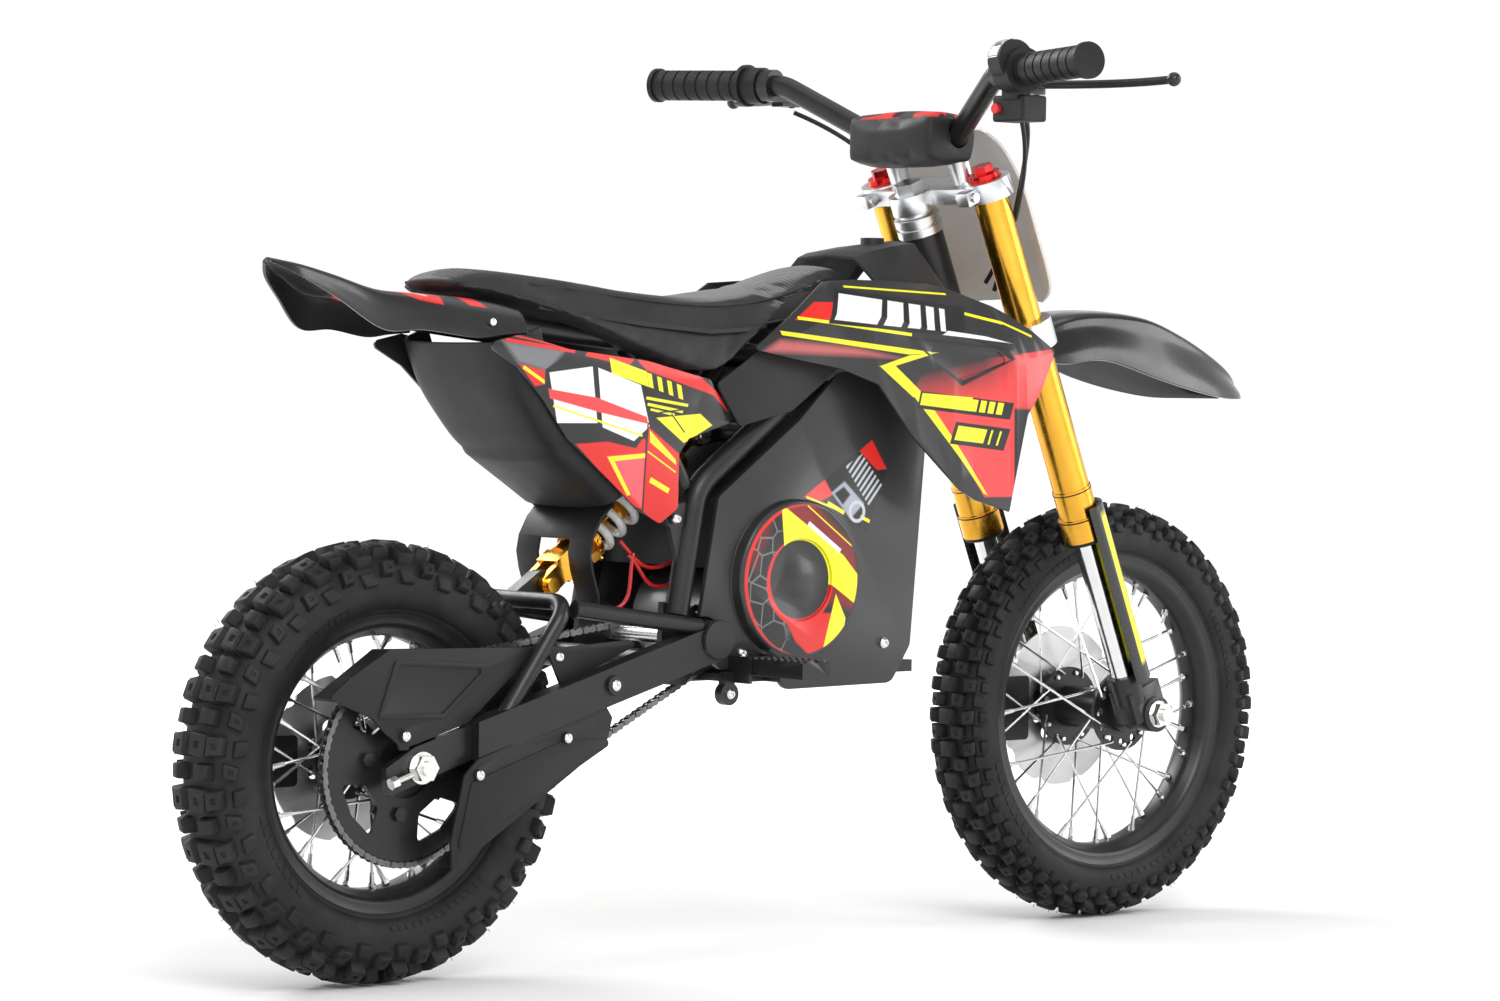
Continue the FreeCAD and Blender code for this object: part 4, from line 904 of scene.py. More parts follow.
# ------------------------------------------------------------ rims, spokes and hubs
def build_rim(which, axle, r, half):
    """Rolled-edge rim with a drop centre."""
    edge = [(half - 1.2 + 1.5 * math.cos(t), r - 1.0 + 1.5 * math.sin(t)) for t in (0.3, 1.0, 1.6, 2.4, 3.0)]
    side = [(half - 0.4, r - 3), (half - 1.6, r - 6), (half - 1.6, r - 9), (half - 2.6, r - 12.5),
            (half - 6, r - 15), (half * 0.55, r - 19), (half * 0.40, r - 21.5), (half * 0.28, r - 22)]
    half_profile = list(reversed(edge)) + side
    inner = [(half * 0.34, r - 17), (half - 5, r - 11), (half - 3.4, r - 8), (half - 3.2, r - 2)]
    right = inner + half_profile
    left = [(-y, q) for y, q in reversed(right)]
    verts, faces = turned(right + left, axle, (0, 1, 0), 144, closed=True)
    recalc(piece(which + "_rim_shell", verts, faces, "black_paint", which + "_wheel",
                 (which + "_rim",), 38), 38)


def build_spokes(which, axle, count, flange_y, flange_r, rim_r, lean):
    """Laced spokes with bent heads at the flanges and nipples at the rim."""
    wire_r = 0.00135
    wires = Heap()
    nipples = Heap()
    for i in range(count):
        side = 1 if i % 2 else -1
        crossed = 1 if (i // 2) % 2 else -1
        a = 2 * math.pi * i / count
        b = a + math.radians(lean * crossed)
        y0 = side * (flange_y + 3.8 * crossed)
        start = on_wheel(axle, b, y0, flange_r)
        stop = on_wheel(axle, a, side * 5.0, rim_r)
        head = on_wheel(axle, b, side * (flange_y - 3.4 * crossed), flange_r)
        cap = on_wheel(axle, b, side * (flange_y - 5.0 * crossed), flange_r)
        wires.stick(start, stop, wire_r, sides=7)
        wires.stick(start, head, wire_r, sides=7)
        wires.stick(head, cap, 0.0028, 0.0020, 9)
        along = (start - stop).normalized()
        nipples.stick(stop - along * 0.001, stop + along * 0.0035, 0.0040, 0.0036, 10)
        nipples.stick(stop + along * 0.0035, stop + along * 0.0150, 0.0026, 0.0022, 6)
    body, node = which + "_wheel", which + "_spokes"
    wires.make(which + "_spoke_wires", "spoke_steel", body, "spoke_steel", (node,), 40)
    nipples.make(which + "_spoke_nipples", "zinc_steel", body, "spoke_steel", (node,), 30)


build_rim("rear", REAR_AXLE, 140, 28)
build_rim("front", FRONT_AXLE, 165.5, 24.4)
build_spokes("rear", REAR_AXLE, 32, 36, 33, 117.2, 42)
build_spokes("front", FRONT_AXLE, 32, 40, 36, 142.7, 42)


# ------------------------------------------------------------ chain and sprocket teeth
PITCH = 8.0
REAR_TEETH = 72
DRIVE_TEETH = 15
CHAIN_Y = -53.0


def pitch_radius(teeth):
    return PITCH / (2 * math.sin(math.pi / teeth))


def sprocket_teeth(name, centre, teeth, inner, body, look):
    """Toothed edge round a sprocket disc."""
    r = pitch_radius(teeth)
    outline = []
    for i in range(teeth):
        for step, q in ((0.0, r - 2.5), (0.14, r - 2.3), (0.30, r - 0.2), (0.42, r + 1.9), (0.5, r + 2.3),
                        (0.58, r + 1.9), (0.70, r - 0.2), (0.86, r - 2.3)):
            outline.append((q, 2 * math.pi * (i + step) / teeth))
    n = len(outline)
    verts = []
    for y in (CHAIN_Y - 1.4, CHAIN_Y + 1.4):
        verts += [on_wheel(centre, a, y, q) for q, a in outline]
        verts += [on_wheel(centre, a, y, inner) for _, a in outline]
    faces = []
    for i in range(n):
        j = (i + 1) % n
        faces.append((i, j, n + j, n + i))
        faces.append((2 * n + i, 3 * n + i, 3 * n + j, 2 * n + j))
        faces.append((i, 2 * n + i, 2 * n + j, j))
        faces.append((n + i, n + j, 3 * n + j, 3 * n + i))
    recalc(piece(name, verts, faces, look, body, (), 25), 25)


def chain_route():
    """Points one pitch apart round both sprockets, in the XZ plane."""
    ra, rb = pitch_radius(REAR_TEETH) * MM, pitch_radius(DRIVE_TEETH) * MM
    dx, dz = MOTOR_SHAFT.x - REAR_AXLE.x, MOTOR_SHAFT.z - REAR_AXLE.z
    dist, base = math.hypot(dx, dz), math.atan2(dz, dx)
    tilt = math.acos((ra - rb) / dist)
    straight = math.sqrt(dist ** 2 - (ra - rb) ** 2)
    big, small = ra * (2 * math.pi - 2 * tilt), rb * 2 * tilt
    total = big + small + 2 * straight
    links = 2 * round(total / (PITCH * MM) / 2)
    low, high = base - tilt, base + tilt

    def on(centre, r, a):
        return Vector((centre.x + r * math.cos(a), 0, centre.z + r * math.sin(a)))

    def at(s):
        if s < big:
            return on(REAR_AXLE, ra, high + s / ra)
        s -= big
        if s < straight:
            return on(REAR_AXLE, ra, low).lerp(on(MOTOR_SHAFT, rb, low), s / straight)
        s -= straight
        if s < small:
            return on(MOTOR_SHAFT, rb, low + s / rb)
        s -= small
        return on(MOTOR_SHAFT, rb, high).lerp(on(REAR_AXLE, ra, high), s / straight)
    return [at(total * i / links) for i in range(links)]


def build_chain():
    """Side plates, wide and narrow in turn, on rollers and pins."""
    pins = chain_route()
    plate_r, waist = 0.0031, 0.0021
    plates = Heap()
    rollers = Heap()
    for i, p in enumerate(pins):
        q = pins[(i + 1) % len(pins)]
        along = (q - p).normalized()
        up = Vector((-along.z, 0, along.x))
        wide = 3.3 if i % 2 else 2.3
        outline = []
        for centre, first in ((q, -90), (p, 90)):
            for k in range(7):
                a = math.radians(first + 30 * k)
                outline.append(centre + along * (math.cos(a) * plate_r) + up * (math.sin(a) * plate_r))
            if first == -90:
                outline.append((p + q) / 2 + up * waist)
        outline.append((p + q) / 2 - up * waist)
        n = len(outline)
        for side in (-1, 1):
            y0, y1 = (CHAIN_Y + side * wide) * MM, (CHAIN_Y + side * (wide + 0.9)) * MM
            verts = [v + Vector((0, y0, 0)) for v in outline] + [v + Vector((0, y1, 0)) for v in outline]
            faces = [tuple(range(n)), tuple(range(2 * n - 1, n - 1, -1))]
            faces += [(k, (k + 1) % n, n + (k + 1) % n, n + k) for k in range(n)]
            plates.add(verts, faces)
        for reach, r, sides in ((2.2, 0.0025, 10), (4.5, 0.0011, 8)):
            ends = [p + Vector((0, (CHAIN_Y + out) * MM, 0)) for out in (-reach, reach)]
            rollers.stick(*ends, r, sides=sides)
    for heap, name in ((plates, "chain_plates"), (rollers, "chain_rollers")):
        obj = heap.make(name, "chain_steel", None, "chain_steel", ("chain",), 30)
        recalc(obj, 30)
        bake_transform(obj)


sprocket_teeth("rear_sprocket_teeth", REAR_AXLE, REAR_TEETH, 84, "rear_wheel", "black_paint")
sprocket_teeth("drive_sprocket_teeth", MOTOR_SHAFT, DRIVE_TEETH, 12, "countershaft", "sprocket_steel")
build_chain()


# ------------------------------------------------------------ seat and bar pad
SEAT = [  # x, half width of the top, height of the top, half width and height of the lower edge
    (-426, 38, 661, 44, 649), (-400, 54, 665, 66, 644), (-346, 66, 661, 90, 629), (-291, 74, 655, 95, 613),
    (-231, 76, 648, 97, 590), (-148, 76, 643, 98, 569), (-97, 72, 646, 96, 600), (-40, 62, 655, 83, 640),
    (5, 54, 667, 67, 655), (45, 42, 679, 49, 667), (75, 30, 680, 35, 670)]


def between(rows, count):
    """Smooth rows through the given rows of numbers, count steps from each to the next."""
    rows = [np.array(row, dtype=float) for row in rows]
    made = []
    for i in range(len(rows) - 1):
        p0, p1, p2, p3 = rows[max(i - 1, 0)], rows[i], rows[i + 1], rows[min(i + 2, len(rows) - 1)]
        for k in range(count):
            t = k / count
            made.append(0.5 * (2 * p1 + (p2 - p0) * t + (2 * p0 - 5 * p1 + 4 * p2 - p3) * t * t
                               + (3 * p1 - p0 - 3 * p2 + p3) * t ** 3))
    return made + [rows[-1]]


def seat_solid(name):
    """Closed seat body: crowned top, hollow flanks running out to the lower edge, flat underside."""
    verts = []
    stations = between(SEAT, 9)
    for x, wt, zt, wb, zb in stations:
        half = between([(wb - 2, zb + 1), (wb, zb + 4), (wt + (wb - wt) * 0.55, zb + (zt - zb) * 0.42),
                        (wt + 2, zt - 9), (wt - 5, zt - 2.2), (wt * 0.5, zt + 0.3), (0, zt + 1.5)], 5)
        ring = [Vector((x, -y, z)) for y, z in half] + [Vector((x, y, z)) for y, z in reversed(half[:-1])]
        ring += [Vector((x, (wb - 2) * f, zb + 1)) for f in (0.66, 0.33, 0.0, -0.33, -0.66)]
        verts += [v * MM for v in ring]
    cols = len(verts) // len(stations)
    faces = grid_faces(len(stations), cols)
    faces += [tuple(range(cols))[::-1], tuple(range(len(verts) - cols, len(verts)))]
    data = bpy.data.meshes.new(name)
    data.from_pydata([tuple(v) for v in verts], [], faces)
    obj = linked(name, data)
    recalc(obj)
    return obj


CLOTH_FRAMES = 20


def cloth_pad(source, look, name, voxel, pressure, cap, shrink, start_from=None):
    """Padded skin for a CAD cushion, blown out from a slightly smaller copy or from what start_from makes."""
    obj = start_from(name) if start_from else linked(name, NODES[source].data.copy())
    plain_mesh(obj.data)
    remesh = obj.modifiers.new("remesh", "REMESH")
    remesh.mode = "VOXEL"
    remesh.voxel_size = voxel
    apply_modifiers(obj)
    bm = bmesh.new()
    bm.from_mesh(obj.data)
    for _ in range(2):
        bmesh.ops.smooth_vert(bm, verts=bm.verts, factor=0.5, use_axis_x=True, use_axis_y=True,
                              use_axis_z=True)
    bm.normal_update()
    for v in bm.verts:
        v.co -= v.normal * shrink
    bm.to_mesh(obj.data)
    bm.free()
    start = np.array([v.co for v in obj.data.vertices])
    cloth = obj.modifiers.new("cloth", "CLOTH")
    cloth.settings.use_pressure = True
    cloth.settings.uniform_pressure_force = pressure
    cloth.settings.effector_weights.gravity = 0
    cloth.settings.quality = 5
    cloth.point_cache.frame_start = 1
    cloth.point_cache.frame_end = CLOTH_FRAMES
    scene = bpy.context.scene
    for frame_number in range(1, CLOTH_FRAMES + 1):
        scene.frame_set(frame_number)
    graph = bpy.context.evaluated_depsgraph_get()
    blown = np.array([v.co for v in obj.evaluated_get(graph).to_mesh().vertices])
    obj.modifiers.clear()
    move = blown - start
    length = np.linalg.norm(move, axis=1, keepdims=True)
    move *= np.minimum(1.0, cap / np.maximum(length, 1e-9))
    for v, p in zip(obj.data.vertices, start + move):
        v.co = p
    scene.frame_set(1)
    sub = obj.modifiers.new("sub", "SUBSURF")
    sub.levels = sub.render_levels = 1
    apply_modifiers(obj)
    finish(obj, look, BODY[source], (source,))
    smooth(obj, 80)
    return obj


def seat_edge(side):
    """The seam between the seat's top and side, from tail to nose, in millimetres."""
    line = [(-420, 40, 655), (-400, 54, 660), (-346, 66, 656), (-291, 74, 650), (-231, 76, 643),
            (-148, 76, 638), (-97, 72, 641), (-40, 62, 650), (5, 54, 662), (45, 42, 674), (72, 32, 676)]
    return [Vector((x, y * side, z)) * MM for x, y, z in line]


def welt(tree, points, name):
    """Thin cord along a surface, just proud of it."""
    found = []
    for p in points:
        place, normal, _, _ = tree.find_nearest(p)
        found.append(place + normal * 0.0003)
    curve(name, found, 0.0013, "tank_vinyl", "frame")


seat = cloth_pad("seat_cushion", "seat_vinyl", "seat_cover", voxel=0.0055, pressure=3.0, cap=0.0035,
                 shrink=0.0014, start_from=seat_solid)
seat_tree = BVHTree.FromObject(seat, bpy.context.evaluated_depsgraph_get())
for tag, side in (("right", -1), ("left", 1)):
    welt(seat_tree, seat_edge(side), "seat_welt_" + tag)
cloth_pad("bar_pad", "pad_vinyl", "bar_pad_cover", voxel=0.004, pressure=4.0, cap=0.003,
          shrink=0.0018)


# ------------------------------------------------------------ fenders and number plate, smooth thin shells
SHELL_THICK = 0.003


def shell(name, rows, look, node):
    """Thin moulded shell under a grid of points, its rim rounded, in place of a CAD node."""
    verts = [v for row in rows for v in row]
    faces = grid_faces(len(rows), len(rows[0]), closed=False)
    obj = piece(name, verts, faces, look, BODY[node], (node,))
    recalc(obj)
    solid = obj.modifiers.new("solid", "SOLIDIFY")
    solid.thickness = SHELL_THICK
    solid.offset = -1
    apply_modifiers(obj)
    bevelled(obj, SHELL_THICK * 0.3, 2, 60)


def arched(stations, half_section, steps=6):
    """Rows of points for a shell symmetric about the centre plane."""
    rows = []
    for x, *sizes in between(stations, steps):
        half = between(half_section(*sizes), 5)
        row = [Vector((x, -y, z)) * MM for y, z in reversed(half)]
        rows.append(row + [Vector((x, y, z)) * MM for y, z in half[1:]])
    return rows


def front_fender_half(w, top, edge):
    """Half section with a step between the crown and the skirt, as (y, z)."""
    deep = top - edge
    drop = min(7.0, deep / 3)
    return [(0, top), (w * 0.38, top - 1.0), (w * 0.68, top - drop * 0.8),
            (w * 0.76, top - drop - deep * 0.2), (w * 0.95, edge + deep * 0.25), (w, edge)]


def rear_fender_half(wt, zt, wb, zb):
    """Half section with a flat top and leaning sides, as (y, z)."""
    wide, deep = wb - wt, zb - zt
    return [(0, zt + 2), (wt * 0.5, zt + 1.5), (wt * 0.93, zt), (wt + wide * 0.35, zt + deep * 0.22),
            (wt + wide * 0.8, zt + deep * 0.7), (wb, zb)]


def front_plate_rows():
    """Bowed plate from its lower edge up: height, half width, and how far ahead its middle and edge are."""
    rows = []
    for z, w, middle, edge in between([(18, 56, 97, 85), (40, 83, 100, 79), (100, 88, 102, 76),
                                       (150, 87, 102, 75), (190, 68, 100, 80), (206, 42, 97, 86)], 6):
        half = between([(middle, 0), (middle - 1.5, w * 0.3), ((edge + middle) / 2 + 3.5, w * 0.62),
                        (edge + 2.5, w * 0.93), (edge, w)], 5)
        rows.append([at_fork(x, -y, z) for x, y in reversed(half)] + [at_fork(x, y, z) for x, y in half[1:]])
    return rows


def inner_fender_rows():
    """Trough down behind the rear wheel's front face, from its upper lip: x, z and half width."""
    rows = []
    for x, z, w in between([(-382, 603, 89), (-376, 585, 88), (-363, 556, 86), (-344, 530, 84),
                            (-327, 510, 82), (-309, 496, 80), (-271, 471, 77), (-244, 453, 75)], 5):
        half = between([(-14, 0), (-13, w * 0.5), (-9, w * 0.85), (0, w * 0.97), (14, w), (26, w)], 5)
        rise = 0.4 if z > 500 else 0.8
        row = [Vector((x + dx, -y, z + dx * rise)) * MM for dx, y in reversed(half)]
        rows.append(row + [Vector((x + dx, y, z + dx * rise)) * MM for dx, y in half[1:]])
    return rows


FRONT_FENDER = [  # x, half width, height of the crown and of the edge
    (290, 30, 599, 590), (330, 50, 613, 588), (365, 58, 634, 586), (420, 60, 643, 590), (490, 66, 639, 572),
    (545, 65, 623, 560), (600, 59, 600, 552), (640, 44, 580, 551), (668, 15, 558, 551)]
REAR_FENDER = [  # x, half width and height of the top, half width and height of the lower edge
    (-603, 6, 671, 8, 668), (-585, 26, 667, 31, 655), (-558, 43, 658, 49, 636), (-521, 60, 645, 68, 609),
    (-480, 64, 642, 76, 609), (-430, 68, 639, 89, 603), (-400, 72, 636, 93, 606), (-374, 78, 630, 94, 608)]
for node, rows, look in (("front_fender", arched(FRONT_FENDER, front_fender_half), "fender_plastic"),
                         ("rear_fender", arched(REAR_FENDER, rear_fender_half), "tail"),
                         ("inner_fender", inner_fender_rows(), "case_plastic")):
    shell(node + "_shell", rows, look, node)
shell("front_plate_shell", front_plate_rows(), "plate_plastic", "front_number_plate")


# ------------------------------------------------------------ bodywork with softened edges
for node, look, width in (("side_covers", "cover_plastic", 0.0014), ("shrouds", "graphic_plastic", 0.0011),
                          ("number_panels", "number", 0.0009), ("frame_panels", "case_plastic", 0.0009),
                          ("tank_cover", "tank_vinyl", 0.0012)):
    rounded_copy(node, look, width)
FLAP_SLOT, SLOT_ROOM = 0.030, 0.0015
flap = rounded_copy("mud_flap", "flap_rubber", 0.0009)
for v in flap.data.vertices:
    if abs(v.co.y) < FLAP_SLOT:
        v.co.y += math.copysign(SLOT_ROOM, v.co.y)  # lets the shock's pins pass
for node, look, width in (("battery_case", "case_plastic", 0.0015), ("chain_guards", "case_plastic", 0.0009),
                          ("fork_lugs", "black_paint", 0.0008)):
    rounded_copy(node, look, width)
rounded_copy("fork_guards", "guard", 0.0006, 1)
rounded_copy("upper_clamp", "silver_alloy", 0.0010)
for side in ("right", "left"):
    rounded_copy("brake_lever_" + side, "black_paint", 0.0006)
for side in ("right", "left"):
    rounded_copy("peg_" + side, "black_paint", 0.0005, 1)


# ------------------------------------------------------------ bolts and small fittings
def bolts(name, places, body, stands_for=(), sides=(-1, 1)):
    """Domed socket heads on the flanks: x, y, z, radius and height of each, in millimetres."""
    heap = Heap()
    for x, y, z, r, h in places:
        head = [(-1.0, r), (h * 0.45, r), (h * 0.85, r * 0.80), (h, r * 0.62), (h, r * 0.46),
                (h * 0.25, r * 0.42), (h * 0.25, 0.01)]
        for side in sides:
            heap.add(*turned(head, Vector((x, y * side, z)) * MM, (0, side, 0), 24))
    recalc(heap.make(name, "zinc_steel", body, SLOT["cover_screws"], stands_for, 30), 30)


bolts("cover_bolts", [(81, 90, 306, 5.5, 4.0), (-105, 90, 301, 5.5, 4.0), (-182, 80.8, 432, 5.0, 4.0),
                      (-126, 98, 263, 5.0, 4.0)], "frame", ("cover_screws",))
bolts("guard_bolts", [(-325, 99, 229, 4.6, 1.8), (-428, 99, 199, 4.6, 1.8), (-502, 84, 237, 4.6, 1.8),
                      (-325, 84, 304, 4.8, 3.0)], "rear_arm", sides=(-1,))
bolts("arm_bolts", [(-274, 106, 277, 5.2, 3.0)], "rear_arm")
bolts("seat_screws", [(-413, 90.5, 617, 3.6, 2.0)], "frame")

# lips round the mouths of the gold fork tubes: distance down the fork and outer radius
WIPER, BORE = -228.0, 14.0
seals = Heap()
for side in (-1, 1):
    for low, r in ((WIPER, 21.4), (-202.0, 22.9), (-172.0, 20.9)):
        profile = [(low, r - 1.2), (low + 0.6, r), (low + 1.6, r), (low + 2.2, r - 1.2)]
        if low == WIPER:
            profile = [(low, BORE), (low, r - 0.8), (low + 0.9, r), (low + 3.0, r), (low + 3.9, r - 0.8),
                       (low + 3.9, BORE)]
        seals.add(*turned(profile, at_fork(36, 76 * side, 0), STEER_AXIS, 40, closed=True))
recalc(seals.make("fork_seals", "cable_rubber", "steering", "cable_rubber", (), 40), 40)

# spanner lugs round the shock's preload rings
notches = Heap()
for k in range(12):
    turn = 2 * math.pi * k / 12
    for reach, s, r in ((26.0, 66.0, 2.4), (22.6, 70.5, 1.6)):
        notches.stick(at_shock(reach - 4, turn, s), at_shock(reach, turn, s), r * MM, r * 0.9 * MM, 8)
notches.make("preload_notches", "gold_alloy", "shock_lower", SLOT["shock_rod"], (), 30)


def shock_coil():
    """Coil spring with flat ends."""
    low, high, mean, wire = 76.4, 190.7, 21.5, 4.2  # along the shock and out from its axis
    turns, dead = 6.6, 0.35  # all turns, and the flat part of a turn at each end
    steps, sides = 40, 14
    count = int(turns * steps) + 1
    verts = []
    for i in range(count):
        turn = 2 * math.pi * i / steps
        rise = min(1.0, max(0.0, (i / steps - dead) / (turns - 2 * dead)))
        s = low + (high - low) * rise
        for k in range(sides):
            a = 2 * math.pi * k / sides
            verts.append(at_shock(mean + wire * math.cos(a), turn, s + wire * math.sin(a)))
    faces = grid_faces(count, sides)
    faces += [tuple(range(sides))[::-1], tuple(range((count - 1) * sides, count * sides))]
    obj = piece("shock_spring_coil", verts, faces, "spring_paint", None,
                ("shock_spring",), 60)
    recalc(obj, 60)
    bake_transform(obj)


shock_coil()


def weld(heap, centre, axis, radius, bead=1.7):
    """Ring of overlapping weld beads round a joint; centre and radius in millimetres."""
    axis = Vector(axis).normalized()
    side = axis.orthogonal().normalized()
    up = axis.cross(side)
    count = int(2 * math.pi * radius / bead)
    for k in range(count):
        turn = 2 * math.pi * (k + DRAW.uniform(-0.15, 0.15)) / count
        out = side * math.cos(turn) + up * math.sin(turn)
        a = (Vector(centre) + out * (radius - bead * 0.5)) * MM
        b = (Vector(centre) + out * (radius + bead * 0.55) + axis * DRAW.uniform(-0.3, 0.3)) * MM
        heap.stick(a, b, bead * 0.62 * MM, bead * 0.40 * MM, 6)


arm_welds = Heap()
frame_welds = Heap()
for side in (-1, 1):
    weld(arm_welds, (-153, 112 * side, 317), (0, 1, 0), 18.2)
    weld(arm_welds, (-274, 103 * side, 277), (0, 1, 0), 9.2, 1.3)
    weld(arm_welds, (-310, 87 * side, 349), (142, 14 * side, -20), 8.4, 1.3)
    weld(arm_welds, (-392, 84 * side, 250), (76, 2 * side, 107), 8.6, 1.4)
    weld(frame_welds, (-160, 66 * side, 464), (-76, -4 * side, 138), 8.6, 1.4)
    weld(frame_welds, (-236, 62 * side, 598), (-76, -4 * side, 138), 8.6, 1.4)
    weld(frame_welds, (-43, 72 * side, 541), (-107, 0, -79), 12.4, 1.5)
for place, axis, radius in (((200, 0, 662), (106, 0, 48), 16.3), ((222, 0, 617), (82, 0, 88), 14.3)):
    weld(frame_welds, place, axis, radius, 1.8)
arm_welds.make("arm_welds", "frame_paint", "rear_arm", "frame_paint", (), 50)
frame_welds.make("frame_welds", "frame_paint", "frame", "frame_paint", (), 50)

# valve stems: foot radius and angle round the wheel
for which, axle, foot, turn in (("rear", REAR_AXLE, 118, 0.9), ("front", FRONT_AXLE, 143, 2.4)):
    stem = Heap()
    stem.stick(on_wheel(axle, turn, 7, foot + 1), on_wheel(axle, turn, 7, foot - 14), 0.0030, 0.0024, 12)
    stem.stick(on_wheel(axle, turn, 7, foot - 13), on_wheel(axle, turn, 7, foot - 21), 0.0034, 0.0030, 12)
    stem.make(which + "_valve", "cable_rubber", which + "_wheel", SLOT[which + "_tyre"], (), 30)


def display():
    """Curved read-out glass in a bright frame on the rider's side of the throttle housing."""
    centre = Vector((0.1424, -0.1952, 0.8831))
    face, wide, reach, columns = 20.5, 7.5, 0.62, 13  # radius, half width and half angle of the glass
    back = Vector((-0.70, 0, 0.71))
    back = (back - GRIP_AXIS * back.dot(GRIP_AXIS)).normalized()
    side = GRIP_AXIS.cross(back)

    def at(u, turn, r):
        return centre + GRIP_AXIS * (u * MM) + (back * math.cos(turn) + side * math.sin(turn)) * (r * MM)
    glass = [at(u, t, r) for r in (face, face - 1.5) for t in np.linspace(-reach, reach, columns)
             for u in (-wide, wide)]
    faces = []
    for a in range(0, 2 * columns - 2, 2):
        faces.append((a, a + 1, a + 3, a + 2))
        faces.append((26 + a, 28 + a, 29 + a, 27 + a))
        faces.append((a, a + 2, 28 + a, 26 + a))
        faces.append((a + 1, 27 + a, 29 + a, a + 3))
    faces += [(0, 26, 27, 1), (24, 25, 51, 50)]
    obj = piece("throttle_glass", glass, faces, "display", "steering", (), 30)
    recalc(obj, 30)
    trim = Heap()
    around = [at(u, t, face + 0.1) for u, first in ((-wide - 0.7, -reach - 0.06), (wide + 0.7, reach + 0.06))
              for t in np.linspace(first, -first, 15)]
    for a, b in zip(around, around[1:] + around[:1]):
        trim.stick(a, b, 0.0008, sides=6)
    trim.make("throttle_trim", "silver_alloy", "steering", SLOT["throttle_housing"], (), 50)


display()

# ------------------------------------------------------------ cables
CABLES = {  # radius and route in millimetres
    "throttle_wire": (2.4, (186, -166, 831), (216, -146, 804), (252, -102, 758), (277, -60, 712),
                      (268, -33, 668)),
    "front_brake_cable": (2.5, (186, -168, 841), (222, -144, 826), (256, -100, 784), (280, -60, 724),
                          (274, -40, 660)),
    "rear_brake_cable": (2.5, (186, 176, 846), (222, 148, 828), (256, 98, 786), (277, 60, 724),
                         (273, 38, 664))}
for name, (radius, *route) in CABLES.items():
    curve(name, [Vector(p) * MM for p in route], radius * MM, "cable_rubber", "steering",
          ("control_cables",))
RED_WIRES = {
    "upper": ((-138, -36, 394), (-164, -42, 384), (-190, -42, 380), (-204, -42, 396), (-216, -38, 410)),
    "lower": ((-140, -38, 374), (-166, -44, 362), (-192, -46, 366), (-200, -46, 388), (-210, -44, 396)),
    "loop": ((-204, -44, 398), (-212, -46, 376), (-204, -46, 352), (-222, -42, 346))}
for tag, route in RED_WIRES.items():
    curve("red_wire_" + tag, [Vector(p) * MM for p in route], 0.0019, "wire_red", "frame")


# ------------------------------------------------------------ finishes of the CAD parts that stay in view
KEPT = {"pivot_bolts": "zinc_steel", "seat_base": "case_plastic"}
for node, obj in NODES.items():
    if obj.hide_render:
        continue
    for used in obj.material_slots:
        used.material = LOOKS[KEPT.get(node, SLOT[node])].mat


# ------------------------------------------------------------ camera, floor and light
CAMERA_PLACE = Vector((-2.9994, -3.4583, 0.5805))
CAMERA_RIGHT = Vector((0.75772, -0.65244, 0.01333))
CAMERA_UP = Vector((0.00915, 0.03105, 0.99948))
CAMERA_AHEAD = Vector((0.65251, 0.75721, -0.02950))
camera_data = bpy.data.cameras.new("camera")
camera_data.lens = 110.2
camera_data.sensor_width = 36.0
camera = linked("camera", camera_data)
turned_by = Matrix((CAMERA_RIGHT, CAMERA_UP, -CAMERA_AHEAD)).transposed()
camera.matrix_world = Matrix.Translation(CAMERA_PLACE) @ turned_by.to_4x4()
bpy.context.scene.camera = camera

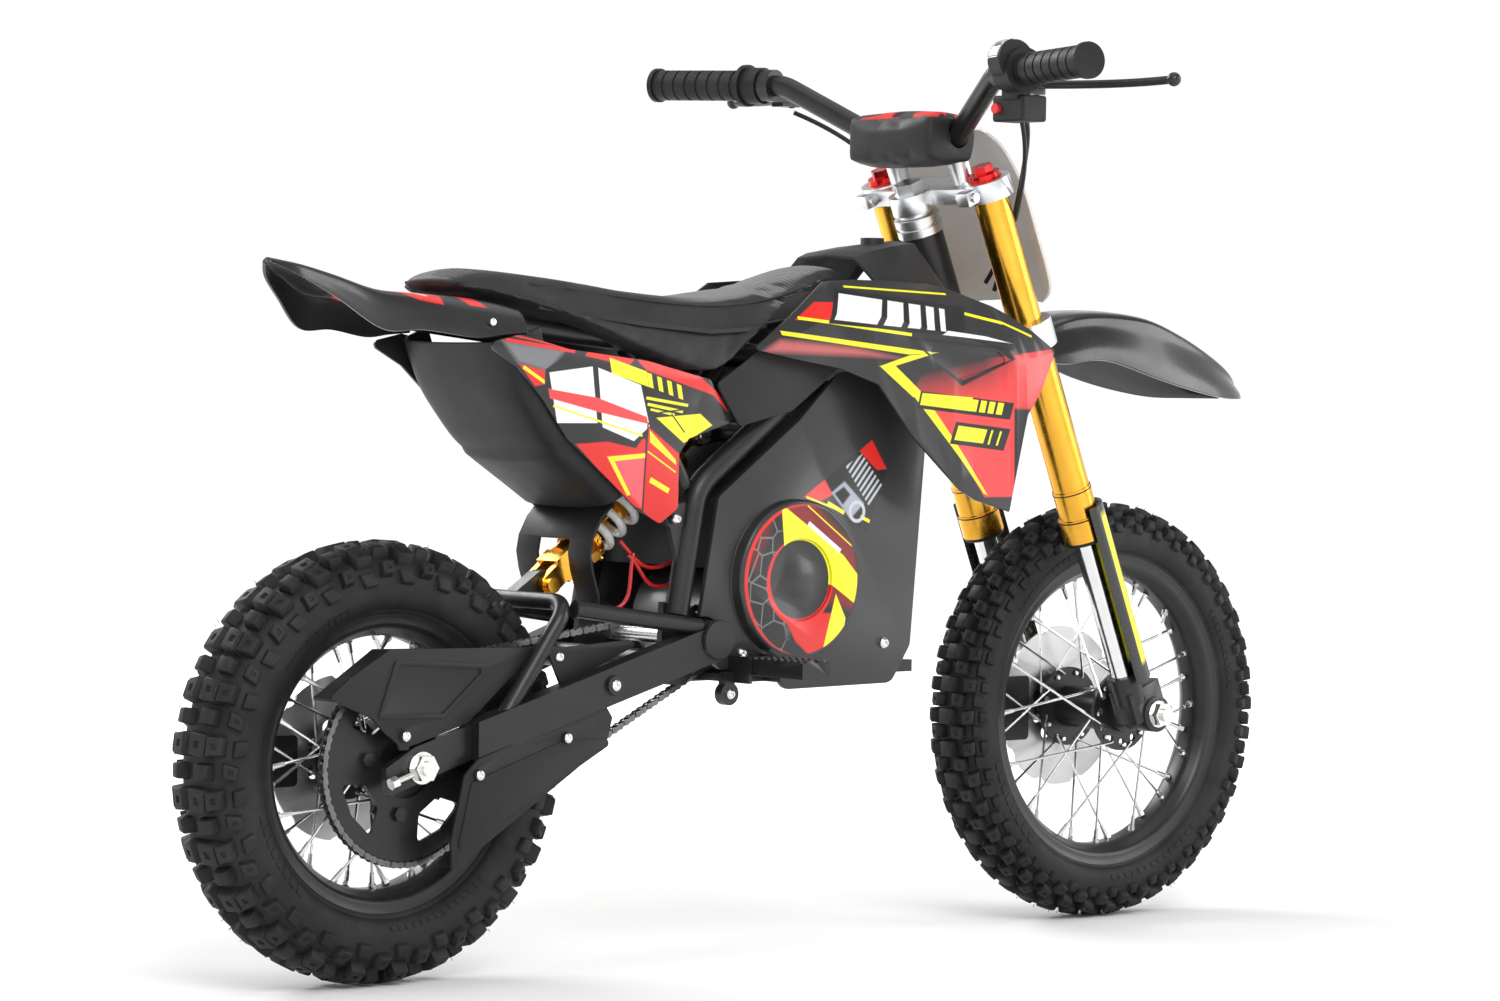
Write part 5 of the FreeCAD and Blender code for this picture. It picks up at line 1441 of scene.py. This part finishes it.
# pale floor that glows a little away from the bike, so that its far part is as white as the backdrop
PAPER = (0.92, 0.92, 0.92)
FLOOR_REACH, FLOOR_Z = 30, -0.0005
floor_look = Look("floor_paper", PAPER, rough=0.9, shine=0.0)
floor_look.put("Base Color", floor_look.worn(PAPER, 0.01, 3))
floor_look.put("Emission Color", (1, 1, 1, 1))
square = [floor_look.math("MULTIPLY", floor_look.xyz()[axis], floor_look.xyz()[axis]) for axis in "XY"]
far = floor_look.math("SQRT", floor_look.math("ADD", *square))
floor_look.put("Emission Strength", floor_look.span(far, 0.9, 2.6, 0.0, 0.62))
floor_data = bpy.data.meshes.new("floor")
floor_corners = [(x * FLOOR_REACH, y * FLOOR_REACH, FLOOR_Z) for x, y in ((-1, -1), (1, -1), (1, 1), (-1, 1))]
floor_data.from_pydata(floor_corners, [], [(0, 1, 2, 3)])
floor_data.materials.append(floor_look.mat)
floor = linked("floor", floor_data)


def softbox(name, place, target, size, power):
    """Rectangular lamp at a place, turned to a target."""
    data = bpy.data.lights.new(name, "AREA")
    data.shape = "RECTANGLE"
    data.size, data.size_y = size
    data.energy = power
    lamp = linked(name, data)
    lamp.location = place
    lamp.rotation_euler = (Vector(target) - Vector(place)).to_track_quat("-Z", "Y").to_euler()


softbox("key", (-1.6, -3.2, 3.0), (0, 0, 0.4), (2.6, 1.8), 100)
softbox("fill", (3.2, -2.2, 1.6), (0, 0, 0.5), (2.0, 2.0), 45)
softbox("rim", (-0.6, 3.2, 2.6), (0, 0, 0.5), (3.0, 1.2), 90)
softbox("top", (0.0, 0.0, 3.6), (0, 0, 0.3), (4.5, 2.6), 42)

# white surroundings, brightest at eye level and dimmer overhead and below
world = bpy.data.worlds.new("studio")
bpy.context.scene.world = world
world.use_nodes = True
sky = world.node_tree
backdrop = sky.nodes["Background"]
backdrop.inputs["Color"].default_value = (1, 1, 1, 1)
split = sky.nodes.new("ShaderNodeSeparateXYZ")
sky.links.new(sky.nodes.new("ShaderNodeTexCoord").outputs["Generated"], split.inputs[0])
height = sky.nodes.new("ShaderNodeMath")
height.operation = "ABSOLUTE"
sky.links.new(split.outputs["Z"], height.inputs[0])
fade = sky.nodes.new("ShaderNodeMapRange")
for socket, value in zip(fade.inputs[1:5], (0.30, 0.55, 1.03, 0.36)):
    socket.default_value = value
sky.links.new(height.outputs[0], fade.inputs[0])
sky.links.new(fade.outputs[0], backdrop.inputs["Strength"])
bpy.context.scene.view_settings.view_transform = "Standard"
